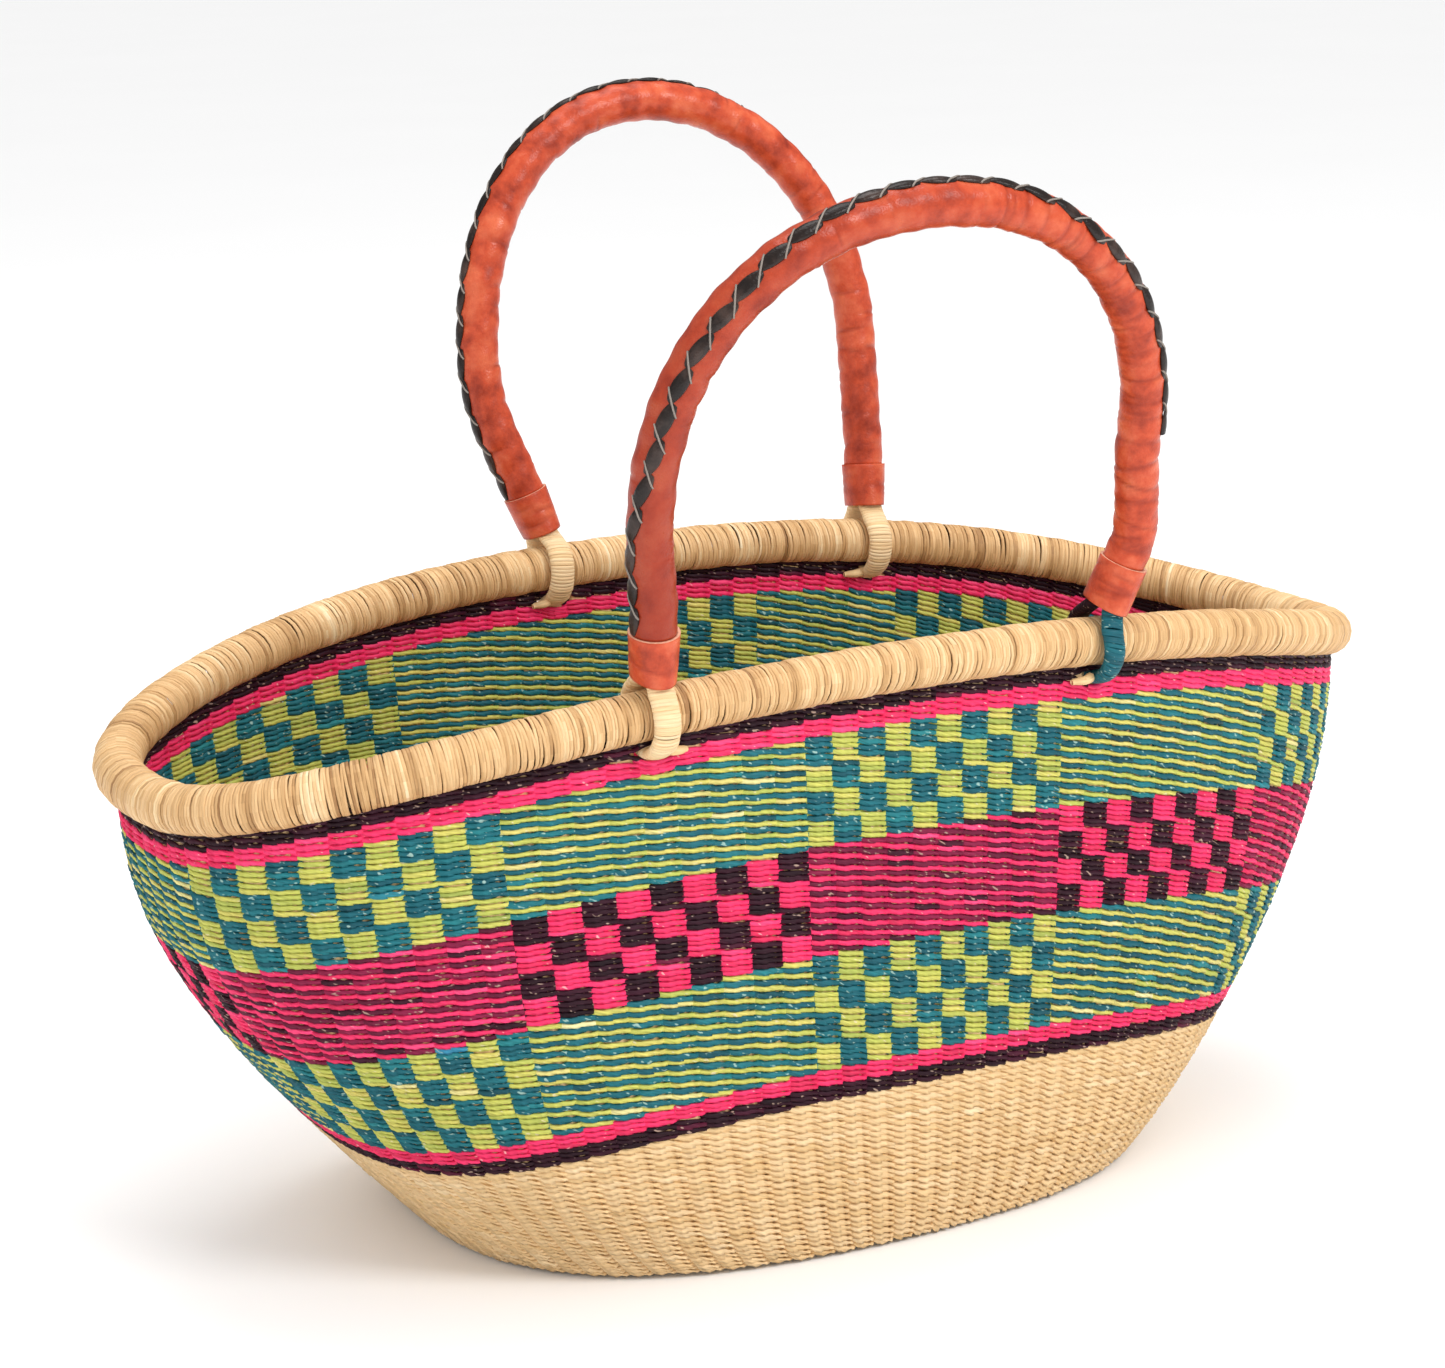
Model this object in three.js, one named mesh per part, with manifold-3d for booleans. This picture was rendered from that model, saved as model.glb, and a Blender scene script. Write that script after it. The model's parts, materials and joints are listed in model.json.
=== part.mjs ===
// Oval market basket, twined in straw over stakes, with two arched leather-covered handles.
// Millimetres, +Z up, +X along the basket, -Y towards its front. The origin is the middle of
// the floor's underside. Each handle turns about the line through its two feet on the rim.
import * as THREE from "three";
import { mergeVertices } from "three/addons/utils/BufferGeometryUtils.js";
import Module from "manifold-3d";

const wasm = await Module();
wasm.setup();

// Rim: the centre line of the wound tube, a full oval that dips towards its two ends.
const RIM = {
  halfLength: 250,
  halfWidth: 117,
  fullness: 2.6,
  height: 221.5,
  endDrop: 35,
  endDropPower: 2.3,
  radius: 9.3,
  coreRadius: 5.5,
  windingInnerRadius: 5.8,
  slitHalfWidth: 4,
};

// Floor outline, and how the wall leaves it and reaches the rim, along the sides and at the ends.
const BASE = { halfLength: 147, halfWidth: 111, fullness: 2.55 };
const SIDE_PROFILE = { lowOut: 14, lowUp: 0, highDown: 10, highOut: -4 };
const END_PROFILE = { lowOut: 112, lowUp: 117, highDown: 40, highOut: -3.5 };
const WALL_THICKNESS = 5;
const GAP = 0.3;
const BAND_GAP = 0.5;
const FLOOR_CLEARANCE = 1.4;

// Bands of the wall, each from the one above, by distance down the wall from the rim's centre line.
// The lowest band goes on down to the floor's edge, wherever the wall ends.
const FLOOR_EDGE = Infinity;
const BAND_TOP = 6.5;
const BANDS = [
  { name: "upper_black_rows", bottom: 14.5, steps: 1, color: "#2a1820" },
  { name: "upper_pink_rows", bottom: 21, steps: 1, color: "#e83864" },
  { name: "upper_check_band", bottom: 62, steps: 3, color: "#8f9a55" },
  { name: "middle_check_band", bottom: 103, steps: 3, color: "#a8304f" },
  { name: "lower_check_band", bottom: 147, steps: 3, color: "#8f9a55" },
  { name: "lower_pink_rows", bottom: 153, steps: 1, color: "#e83864" },
  { name: "lower_black_rows", bottom: 159, steps: 1, color: "#2a1820" },
  { name: "natural_wall", bottom: FLOOR_EDGE, steps: 6, color: "#dfbf87" },
];

// Handle loops: a ring of straw round the rim whose two legs meet above it. The eases are how far
// each end of a leg keeps its direction, as shares of the leg's height and of the ring's radius.
const LOOP = {
  radius: 13.4,
  width: 10,
  thickness: 5.4,
  legOffset: 3.2,
  legTop: 21,
  legTopEase: 0.42,
  legFootEase: 0.6,
  stemRadius: 6,
  stemBottom: 18.5,
  stemTop: 25.4,
};

// The slot in the wall that each loop passes through, by depth below the rim's centre line.
const SLOT = { width: 11.8, top: 8.6, bottom: 17, reach: 40 };

// Handle sections, and places along the leg from the pivot height where it starts to slant. The
// eases say how far the arch keeps straight at a cuff, at a shoulder and above a shoulder.
const HANDLE = {
  slantStart: 8,
  legEase: 0.4,
  crownEase: 0.56,
  coreRadius: 5.3,
  coreStart: 21,
  sleeveRadius: 8.1,
  sleeveThickness: 1.4,
  cuffStart: 7,
  cuffEnd: 24.5,
  cuffRadius: 8.9,
  cuffMouthRadius: 12,
  cuffThickness: 1.9,
  laceWidth: 5,
  laceThickness: 1.1,
  laceGap: 0.6,
};

// The two handles. Feet and shoulders are measured along the basket, heights in the leaning
// plane of the handle, and lean is outwards from upright. The left end has the lower x. The lacing
// starts at the left cuff and stops at a share of the arch. Its turns are pairs of a share of the
// arch and the degrees that the strip has turned there, from the arch's outer side to the front.
const HANDLES = [
  {
    name: "front",
    side: -1,
    leanDegrees: 14.7,
    feet: [-101, 83],
    slantDegrees: [3, 19],
    shoulders: [-107.5, 89.5],
    shoulderHeight: 82,
    topX: -9,
    topHeight: 179,
    topReach: 62,
    laceStations: 23,
    laceTurns: [[0, 5], [0.08, 5], [0.16, 51], [0.3, 51], [0.48, -8], [0.55, 0], [0.66, 52], [0.88, 38]],
  },
  {
    name: "back",
    side: 1,
    leanDegrees: 9,
    feet: [-29, 117],
    slantDegrees: [21, 2],
    shoulders: [-54, 118],
    shoulderHeight: 86,
    topX: 27,
    topHeight: 188,
    topReach: 50,
    laceStations: 25,
    laceTurns: [[0, 3], [0.5, 0], [0.64, -40], [1, -40]],
  },
];

// How finely the round things are cut.
const TURNS = 48;
const TUBE_SIDES = 8;
const RIM_SIDES = 8;
const ARCH_STEPS = 26;
const LOOP_STEPS = 18;
const TURN_STEP = 1e-3;

const STRAW = "#dfbf87";
const LEATHER = "#c9573a";
const LACING = "#2b211e";
const TEAL = "#1f5f66";

const basket = new THREE.Group();
basket.name = "woven_market_basket";

function addMesh(parent, name, geometry, color, roughness = 0.8) {
  const material = new THREE.MeshStandardMaterial({ color, roughness, metalness: 0 });
  const mesh = new THREE.Mesh(geometry, material);
  mesh.name = name;
  parent.add(mesh);
  return mesh;
}

// ---------- Closed meshes from a grid of points ----------

// A solid whose surface closes both ways: rings of points, joined in order and back to the first.
function ringSolid(ringCount, pointCount, pointAt) {
  const positions = [];
  const faces = [];
  for (let i = 0; i < ringCount; i++) {
    for (let j = 0; j < pointCount; j++) positions.push(...pointAt(i, j).toArray());
  }
  const at = (i, j) => (i % ringCount) * pointCount + (j % pointCount);
  for (let i = 0; i < ringCount; i++) {
    for (let j = 0; j < pointCount; j++) {
      faces.push(at(i, j), at(i + 1, j), at(i + 1, j + 1));
      faces.push(at(i, j), at(i + 1, j + 1), at(i, j + 1));
    }
  }
  return indexedGeometry(positions, faces);
}

function indexedGeometry(positions, faces) {
  const geometry = new THREE.BufferGeometry();
  geometry.setAttribute("position", new THREE.Float32BufferAttribute(positions, 3));
  geometry.setIndex(faces);
  geometry.computeVertexNormals();
  return geometry;
}

// ---------- Booleans ----------

function toManifold(geometry) {
  const bare = geometry.clone();
  bare.deleteAttribute("normal");
  bare.deleteAttribute("uv");
  const merged = mergeVertices(bare, 1e-4);
  const vertProperties = merged.attributes.position.array;
  const triVerts = new Uint32Array(merged.index.array);
  return new wasm.Manifold(new wasm.Mesh({ numProp: 3, vertProperties, triVerts }));
}

function fromManifold(solid) {
  const mesh = solid.getMesh();
  return indexedGeometry([...mesh.vertProperties], [...mesh.triVerts]);
}

// ---------- The basket's surface ----------

// Points of a full oval, evenly spaced by length: fraction 0 is the +X end, and it runs through +Y.
function evenOval(halfLength, halfWidth, fullness) {
  const samples = 2400;
  const points = [];
  const lengths = [0];
  for (let i = 0; i <= samples; i++) {
    const angle = (2 * Math.PI * i) / samples;
    const c = Math.cos(angle);
    const s = Math.sin(angle);
    const x = halfLength * Math.sign(c) * Math.abs(c) ** (2 / fullness);
    const y = halfWidth * Math.sign(s) * Math.abs(s) ** (2 / fullness);
    points.push(new THREE.Vector2(x, y));
    if (i > 0) lengths.push(lengths[i - 1] + points[i].distanceTo(points[i - 1]));
  }
  return (fraction) => {
    const wanted = (fraction - Math.floor(fraction)) * lengths[samples];
    let low = 0;
    let high = samples;
    while (high - low > 1) {
      const middle = (low + high) >> 1;
      if (lengths[middle] <= wanted) low = middle;
      else high = middle;
    }
    const part = (wanted - lengths[low]) / (lengths[high] - lengths[low]);
    return points[low].clone().lerp(points[high], part);
  };
}

const rimOval = evenOval(RIM.halfLength, RIM.halfWidth, RIM.fullness);
const baseOval = evenOval(BASE.halfLength, BASE.halfWidth, BASE.fullness);

function rimPoint(turn) {
  const p = rimOval(turn);
  const drop = RIM.endDrop * Math.abs(p.x / RIM.halfLength) ** RIM.endDropPower;
  return new THREE.Vector3(p.x, p.y, RIM.height - drop);
}

// Axes of the rim tube's section: level and outwards, then up and square to the tube.
function rimAxes(turn) {
  const along = rimPoint(turn + TURN_STEP).sub(rimPoint(turn - TURN_STEP)).normalize();
  const out = new THREE.Vector3(along.y, -along.x, 0).normalize();
  const up = new THREE.Vector3().crossVectors(out, along).normalize();
  return { along, out, up };
}

// The wall's outer profile at one place round the basket, from the floor's edge to the rim.
function wallProfile(turn) {
  const foot2 = baseOval(turn);
  const foot = new THREE.Vector3(foot2.x, foot2.y, 0);
  const rim = rimPoint(turn);
  const top = rim.clone().addScaledVector(rimAxes(turn).out, WALL_THICKNESS / 2);
  const out = new THREE.Vector3(top.x - foot.x, top.y - foot.y, 0).normalize();
  const endness = (rim.x / RIM.halfLength) ** 2;
  const mix = (key) => THREE.MathUtils.lerp(SIDE_PROFILE[key], END_PROFILE[key], endness);
  const low = foot.clone().addScaledVector(out, mix("lowOut"));
  low.z += mix("lowUp");
  const high = top.clone().addScaledVector(out, mix("highOut"));
  high.z -= mix("highDown");
  return new THREE.CubicBezierCurve3(foot, low, high, top);
}

// Share of a wall profile at a distance down from the rim, 0 at the floor's edge and 1 at the rim.
function wallPart(profile, down) {
  return THREE.MathUtils.clamp(1 - down / profile.getLength(), 0, 1);
}

function wallPoint(turn, down) {
  const profile = wallProfile(turn);
  return profile.getPointAt(wallPart(profile, down));
}

function wallNormal(turn, down) {
  const profile = wallProfile(turn);
  const up = profile.getTangentAt(wallPart(profile, down));
  const along = wallPoint(turn + TURN_STEP, down).sub(wallPoint(turn - TURN_STEP, down));
  return new THREE.Vector3().crossVectors(along, up).normalize();
}

function innerWallPoint(turn, down) {
  return wallPoint(turn, down).addScaledVector(wallNormal(turn, down), -WALL_THICKNESS);
}

// ---------- Basket body ----------

function bandGeometry(top, bottom, steps) {
  const pointCount = 2 * (steps + 1);
  return ringSolid(TURNS, pointCount, (i, j) => {
    const turn = i / TURNS;
    const end = Math.min(bottom, wallProfile(turn).getLength());
    const outer = j <= steps;
    const step = outer ? j : pointCount - 1 - j;
    const down = end + (top - end) * (step / steps);
    return outer ? wallPoint(turn, down) : innerWallPoint(turn, down);
  });
}

// A slot for each handle loop, cut through the top rows of the wall just under the rim.
function slotsForLoops() {
  return HANDLES.flatMap((handle) => {
    const frame = handleFrame(handle);
    return handle.feet.map((x) => {
      const box = new THREE.BoxGeometry(SLOT.width, SLOT.reach, SLOT.bottom - SLOT.top);
      box.translate(0, 0, -(SLOT.top + SLOT.bottom) / 2);
      const up = new THREE.Vector3(0, 0, 1);
      const across = up.clone().cross(frame.along).normalize();
      const place = new THREE.Matrix4().makeBasis(frame.along, across, up);
      box.applyMatrix4(place.setPosition(rimAtX(x, handle.side)));
      return toManifold(box);
    });
  });
}

function addWall() {
  const slots = slotsForLoops();
  const slottedNames = ["upper_black_rows", "upper_pink_rows"];
  let top = BAND_TOP;
  for (const band of BANDS) {
    let geometry = bandGeometry(top, band.bottom, band.steps);
    if (slottedNames.includes(band.name)) {
      const cut = slots.reduce((solid, slot) => solid.subtract(slot), toManifold(geometry));
      geometry = fromManifold(cut);
    }
    addMesh(basket, band.name, geometry, band.color);
    top = band.bottom + BAND_GAP;
  }
}

// The floor fills the wall's lowest ring: flat below, its edge following the wall's slanted end.
function addFloor() {
  const positions = [0, 0, 0, 0, 0, WALL_THICKNESS];
  const faces = [];
  for (let i = 0; i < TURNS; i++) {
    const turn = i / TURNS;
    const ahead = wallPoint(turn + TURN_STEP, FLOOR_EDGE);
    const edge = ahead.sub(wallPoint(turn - TURN_STEP, FLOOR_EDGE)).normalize();
    const inwards = new THREE.Vector3(-edge.y, edge.x, 0);
    for (const p of [wallPoint(turn, FLOOR_EDGE), innerWallPoint(turn, FLOOR_EDGE)]) {
      p.addScaledVector(inwards, FLOOR_CLEARANCE);
      positions.push(p.x, p.y, p.z);
    }
  }
  const bottomAt = (i) => 2 + 2 * (i % TURNS);
  const topAt = (i) => 3 + 2 * (i % TURNS);
  for (let i = 0; i < TURNS; i++) {
    faces.push(0, bottomAt(i + 1), bottomAt(i));
    faces.push(1, topAt(i), topAt(i + 1));
    faces.push(bottomAt(i), bottomAt(i + 1), topAt(i + 1));
    faces.push(bottomAt(i), topAt(i + 1), topAt(i));
  }
  addMesh(basket, "woven_floor", indexedGeometry(positions, faces), STRAW);
}

function rimOffset(turn, radius, angle) {
  const { out, up } = rimAxes(turn);
  return rimPoint(turn)
    .addScaledVector(out, radius * Math.cos(angle))
    .addScaledVector(up, radius * Math.sin(angle));
}

function addRim() {
  const core = ringSolid(TURNS, RIM_SIDES, (i, j) =>
    rimOffset(i / TURNS, RIM.coreRadius, (2 * Math.PI * j) / RIM_SIDES),
  );
  addMesh(basket, "rim_core", core, STRAW);

  // The winding is a thick C, open below where the top of the wall enters it.
  const slitAngle = (radius) => Math.asin(RIM.slitHalfWidth / radius);
  const winding = ringSolid(TURNS, 2 * (RIM_SIDES + 1), (i, j) => {
    const outer = j <= RIM_SIDES;
    const radius = outer ? RIM.radius : RIM.windingInnerRadius;
    const step = (outer ? j : 2 * RIM_SIDES + 1 - j) / RIM_SIDES;
    const open = slitAngle(radius);
    const angle = -Math.PI / 2 + open + step * 2 * (Math.PI - open);
    return rimOffset(i / TURNS, radius, angle);
  });
  addMesh(basket, "rim_winding", winding, STRAW);
}

// ---------- Handles ----------

// The rim's centre line at a given x, on the front (side -1) or the back (side +1).
function rimAtX(x, side) {
  let low = side > 0 ? 0 : 0.5;
  let high = low + 0.5;
  const rising = side < 0;
  for (let i = 0; i < 40; i++) {
    const middle = (low + high) / 2;
    if (rimPoint(middle).x < x === rising) low = middle;
    else high = middle;
  }
  return rimPoint((low + high) / 2);
}

// The handle's own frame: x along its feet, z up its leaning plane, origin midway between the feet.
function handleFrame(handle) {
  const [left, right] = handle.feet.map((x) => rimAtX(x, handle.side));
  const along = right.clone().sub(left).normalize();
  const level = new THREE.Vector3(0, handle.side, 0);
  const outwards = level.addScaledVector(along, -level.dot(along)).normalize();
  const upright = new THREE.Vector3(0, 0, 1);
  upright.addScaledVector(along, -upright.dot(along)).normalize();
  const lean = THREE.MathUtils.degToRad(handle.leanDegrees);
  const up = upright.multiplyScalar(Math.cos(lean)).addScaledVector(outwards, Math.sin(lean));
  const across = new THREE.Vector3().crossVectors(up, along).normalize();
  const middle = left.clone().add(right).multiplyScalar(0.5);
  const matrix = new THREE.Matrix4().makeBasis(along, across, up).setPosition(middle);
  const middleX = (handle.feet[0] + handle.feet[1]) / 2;
  return { along, matrix, middleX, span: right.distanceTo(left) };
}

// One leg: where its foot stands, and the slanting line that it follows above the rim.
function legOf(handle, frame, end) {
  const sign = end === 0 ? -1 : 1;
  const slant = THREE.MathUtils.degToRad(handle.slantDegrees[end]);
  const foot = (sign * frame.span) / 2;
  const direction = new THREE.Vector3(sign * Math.sin(slant), 0, Math.cos(slant));
  const pivot = new THREE.Vector3(foot, 0, HANDLE.slantStart);
  const at = (distance) => pivot.clone().addScaledVector(direction, distance);
  return { sign, slant, foot, direction, at };
}

// The arch from the top of one cuff to the top of the other.
function archCurves(handle, frame, legs) {
  const halves = legs.map((leg, end) => {
    const start = leg.at(HANDLE.cuffEnd);
    const shoulderX = handle.shoulders[end] - frame.middleX;
    const topX = handle.topX - frame.middleX;
    const shoulder = new THREE.Vector3(shoulderX, 0, handle.shoulderHeight);
    const top = new THREE.Vector3(topX, 0, handle.topHeight);
    const rise = handle.shoulderHeight - start.z;
    const crown = handle.topHeight - handle.shoulderHeight;
    const legCurve = new THREE.CubicBezierCurve3(
      start,
      start.clone().addScaledVector(leg.direction, rise * HANDLE.legEase),
      new THREE.Vector3(shoulderX, 0, handle.shoulderHeight - rise * HANDLE.legEase),
      shoulder,
    );
    const crownCurve = new THREE.CubicBezierCurve3(
      shoulder,
      new THREE.Vector3(shoulderX, 0, handle.shoulderHeight + crown * HANDLE.crownEase),
      new THREE.Vector3(topX + leg.sign * handle.topReach, 0, handle.topHeight),
      top,
    );
    return [legCurve, crownCurve];
  });
  const backwards = (c) => new THREE.CubicBezierCurve3(c.v3, c.v2, c.v1, c.v0);
  return [
    halves[0][0],
    halves[0][1],
    backwards(halves[1][1]),
    backwards(halves[1][0]),
  ];
}

function pathOf(curves) {
  const path = new THREE.CurvePath();
  curves.forEach((curve) => path.add(curve));
  return path;
}

// Points and in-plane normals along the arch, pointing to its outer, convex side.
function archStations(path) {
  const stations = [];
  for (let i = 0; i <= ARCH_STEPS; i++) {
    const tangent = path.getTangentAt(i / ARCH_STEPS);
    const outer = new THREE.Vector3(-tangent.z, 0, tangent.x);
    stations.push({ centre: path.getPointAt(i / ARCH_STEPS), outer });
  }
  return stations;
}

// A tube open at both ends: each ring of points runs up the outside and back down the inside.
function sleeveGeometry(stations, outerRadius, innerRadius) {
  const count = stations.length;
  return ringSolid(TUBE_SIDES, 2 * count, (i, j) => {
    const outside = j < count;
    const station = stations[outside ? j : 2 * count - 1 - j];
    const radius = outside ? outerRadius : innerRadius;
    const angle = (-2 * Math.PI * i) / TUBE_SIDES;
    const point = station.centre.clone();
    point.addScaledVector(station.outer, radius * Math.cos(angle));
    point.y += radius * Math.sin(angle);
    return point;
  });
}

// The cuff widens across the rim at its mouth, where the two legs of the loop spread.
function cuffGeometry(leg) {
  const sides = 12;
  const places = [
    { distance: HANDLE.cuffStart, across: HANDLE.cuffMouthRadius },
    { distance: HANDLE.cuffEnd - GAP, across: HANDLE.cuffRadius },
  ];
  const order = [0, 1, 1, 0];
  const axisX = new THREE.Vector3(leg.direction.z, 0, -leg.direction.x);
  return ringSolid(sides, 4, (i, j) => {
    const place = places[order[j]];
    const thickness = j < 2 ? 0 : HANDLE.cuffThickness;
    const angle = (2 * Math.PI * i) / sides;
    const point = leg.at(place.distance);
    point.addScaledVector(axisX, (HANDLE.cuffRadius - thickness) * Math.cos(angle));
    point.y += (place.across - thickness) * Math.sin(angle);
    return point;
  });
}

// The loop's centre line: down one leg, round under the rim, and up the other leg.
function loopPath() {
  const { radius, legOffset, legTop, legTopEase, legFootEase } = LOOP;
  const legs = [-1, 1].map(
    (s) =>
      new THREE.CubicBezierCurve3(
        new THREE.Vector3(0, s * legOffset, legTop),
        new THREE.Vector3(0, s * legOffset, legTop * (1 - legTopEase)),
        new THREE.Vector3(0, s * radius, radius * legFootEase),
        new THREE.Vector3(0, s * radius, 0),
      ),
  );
  const points = [];
  const legSteps = LOOP_STEPS / 3;
  for (let i = 0; i < legSteps; i++) points.push(legs[0].getPoint(i / legSteps));
  for (let i = 0; i <= legSteps; i++) {
    const angle = (Math.PI * i) / legSteps;
    points.push(new THREE.Vector3(0, -radius * Math.cos(angle), -radius * Math.sin(angle)));
  }
  for (let i = legSteps - 1; i >= 0; i--) points.push(legs[1].getPoint(i / legSteps));
  return new THREE.CatmullRomCurve3(points);
}

function loopGeometry(leg) {
  const section = new THREE.Shape();
  section.absellipse(0, 0, LOOP.width / 2, LOOP.thickness / 2, 0, 2 * Math.PI);
  const ring = new THREE.ExtrudeGeometry(section, {
    steps: LOOP_STEPS,
    curveSegments: TUBE_SIDES / 2,
    extrudePath: loopPath(),
  });
  const height = LOOP.stemTop - LOOP.stemBottom;
  const stem = new THREE.CylinderGeometry(LOOP.stemRadius, LOOP.stemRadius, height, TUBE_SIDES);
  stem.rotateX(Math.PI / 2);
  stem.translate(0, 0, LOOP.stemBottom + height / 2);
  const geometry = fromManifold(toManifold(ring).add(toManifold(stem)));
  // Above the rim the loop slants with its leg.
  const position = geometry.attributes.position;
  for (let i = 0; i < position.count; i++) {
    const rise = Math.max(0, position.getZ(i) - HANDLE.slantStart);
    position.setX(i, position.getX(i) + leg.foot + leg.sign * rise * Math.tan(leg.slant));
  }
  return geometry;
}

// Degrees that the laced strip has turned round the sleeve at a share of the arch, as radians.
function laceAngle(turns, part) {
  const next = Math.max(1, turns.findIndex(([share]) => share >= part));
  const [[start, from], [end, to]] = turns.slice(next - 1, next + 1);
  return THREE.MathUtils.degToRad(THREE.MathUtils.mapLinear(part, start, end, from, to));
}

// The laced strip lies on the sleeve, in the same stations as the sleeve.
function laceGeometry(handle, stations) {
  const half = HANDLE.laceWidth / 2;
  const low = HANDLE.sleeveRadius + HANDLE.laceGap;
  const high = low + HANDLE.laceThickness;
  const corners = [[-half, low], [half, low], [half, high], [-half, high]];
  const last = 4 * handle.laceStations;
  const positions = [];
  const faces = [0, 1, 2, 0, 2, 3, last, last + 2, last + 1, last, last + 3, last + 2];
  for (let i = 0; i <= handle.laceStations; i++) {
    const { centre, outer } = stations[i];
    const angle = laceAngle(handle.laceTurns, i / ARCH_STEPS);
    const tangent = new THREE.Vector3(outer.z, 0, -outer.x);
    const away = outer.clone().multiplyScalar(Math.cos(angle));
    away.y = -Math.sin(angle);
    const sideways = new THREE.Vector3().crossVectors(tangent, away);
    for (const [across, height] of corners) {
      const point = centre.clone().addScaledVector(sideways, across).addScaledVector(away, height);
      positions.push(point.x, point.y, point.z);
    }
  }
  for (let i = 0; i < handle.laceStations; i++) {
    for (let j = 0; j < 4; j++) {
      const [a, b] = [4 * i + j, 4 * i + ((j + 1) % 4)];
      faces.push(a, b + 4, b, a, a + 4, b + 4);
    }
  }
  return indexedGeometry(positions, faces);
}

function coreGeometry(curves, legs) {
  const [left, right] = legs.map((leg) => [leg.at(HANDLE.coreStart), leg.at(HANDLE.cuffEnd)]);
  const path = pathOf([
    new THREE.LineCurve3(left[0], left[1]),
    ...curves,
    new THREE.LineCurve3(right[1], right[0]),
  ]);
  const section = new THREE.Shape();
  section.absarc(0, 0, HANDLE.coreRadius, 0, 2 * Math.PI);
  const options = { steps: ARCH_STEPS + 6, curveSegments: TUBE_SIDES / 2, extrudePath: path };
  return new THREE.ExtrudeGeometry(section, options);
}

function addHandle(handle) {
  const frame = handleFrame(handle);
  const legs = [0, 1].map((end) => legOf(handle, frame, end));
  const group = new THREE.Group();
  group.applyMatrix4(frame.matrix);
  basket.add(group);

  const curves = archCurves(handle, frame, legs);
  const path = pathOf(curves);
  const named = (piece) => handle.name + "_" + piece;
  const inner = HANDLE.sleeveRadius - HANDLE.sleeveThickness;
  const stations = archStations(path);
  const sleeve = sleeveGeometry(stations, HANDLE.sleeveRadius, inner);
  addMesh(group, named("handle_core"), coreGeometry(curves, legs), STRAW);
  addMesh(group, named("leather_sleeve"), sleeve, LEATHER, 0.5);
  addMesh(group, named("lacing_strip"), laceGeometry(handle, stations), LACING);
  legs.forEach((leg, end) => {
    const endName = end === 0 ? "left" : "right";
    const teal = handle.name === "front" && end === 1;
    addMesh(group, named(endName + "_cuff"), cuffGeometry(leg), LEATHER, 0.5);
    addMesh(group, named(endName + "_loop"), loopGeometry(leg), teal ? TEAL : STRAW);
  });
}

addFloor();
addWall();
addRim();
HANDLES.forEach(addHandle);

export default basket;
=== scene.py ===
"""Woven market basket: twined straw, a wound rim and two leather-covered handles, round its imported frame.

Every strand is a mesh of its own. The wall, floor and rim are worked out from the sizes in the sidebar
panel, and each handle is placed by the joint that it turns on.
"""

import json
import math

import bpy
import numpy as np
from mathutils import Matrix, Vector


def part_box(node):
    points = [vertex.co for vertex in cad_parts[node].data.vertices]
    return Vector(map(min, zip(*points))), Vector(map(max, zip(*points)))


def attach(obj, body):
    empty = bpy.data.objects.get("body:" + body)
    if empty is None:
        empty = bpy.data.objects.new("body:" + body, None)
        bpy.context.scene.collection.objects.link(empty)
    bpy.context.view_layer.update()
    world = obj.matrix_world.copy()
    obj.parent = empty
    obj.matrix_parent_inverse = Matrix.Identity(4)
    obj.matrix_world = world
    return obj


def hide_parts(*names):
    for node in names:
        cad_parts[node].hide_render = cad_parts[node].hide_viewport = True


bl_info = {
    "name": "Woven Market Basket",
    "version": (1, 0, 0),
    "blender": (4, 5, 0),
    "location": "3D View > Sidebar > Basket",
    "description": "Weaves a twined straw market basket with leather-covered handles",
    "category": "Add Mesh",
}

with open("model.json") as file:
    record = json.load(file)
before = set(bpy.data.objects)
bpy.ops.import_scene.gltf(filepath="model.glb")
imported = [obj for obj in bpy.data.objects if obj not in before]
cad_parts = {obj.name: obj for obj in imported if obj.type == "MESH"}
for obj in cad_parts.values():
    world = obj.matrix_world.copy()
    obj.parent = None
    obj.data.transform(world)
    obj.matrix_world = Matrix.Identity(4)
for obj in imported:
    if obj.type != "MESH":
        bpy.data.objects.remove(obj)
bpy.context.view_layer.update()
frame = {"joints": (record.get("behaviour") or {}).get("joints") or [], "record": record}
JOINTS = {joint["name"]: joint for joint in frame["joints"]}
RIM_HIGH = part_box("rim_winding")[1]

MM = 0.001

# Samples along an oval, across the wall's curve, round the wall and up it, and a twined strand's sides.
OVAL_SAMPLES = 4801
CURVE_SAMPLES = 241
WALL_SAMPLES = 1060
RISE_SAMPLES = 140
STRAND_SIDES = 6
# The gap left between the last row of the wall and its foot.
FOOT_MARGIN = 0.0012

# How the wall leaves the floor and reaches the rim, in metres, along the sides and at the ends.
SIDE_PROFILE = {"low_out": 0.014, "low_up": 0.0, "high_down": 0.010, "high_out": -0.004}
END_PROFILE = {"low_out": 0.112, "low_up": 0.117, "high_down": 0.040, "high_out": -0.0035}

# Stakes at which the blocks of checks and stripes change, counted from the +X end through the back, and
# the turn round the rim where each block starts. The stakes are set by hand, so their spacing changes
# from block to block.
STAKE_COUNT = 108
BLOCK_STARTS = (7, 15, 21, 26, 36, 46, 56, 66, 75, 85, 94, 105)
BLOCK_TURNS = (0.080, 0.144, 0.196, 0.241, 0.335, 0.438, 0.527, 0.622, 0.715, 0.806, 0.892, 0.983)
# The block whose checks start on the other dye.
SHIFTED_BLOCK = 4
ROWS_PER_CHECK = 5

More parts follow.
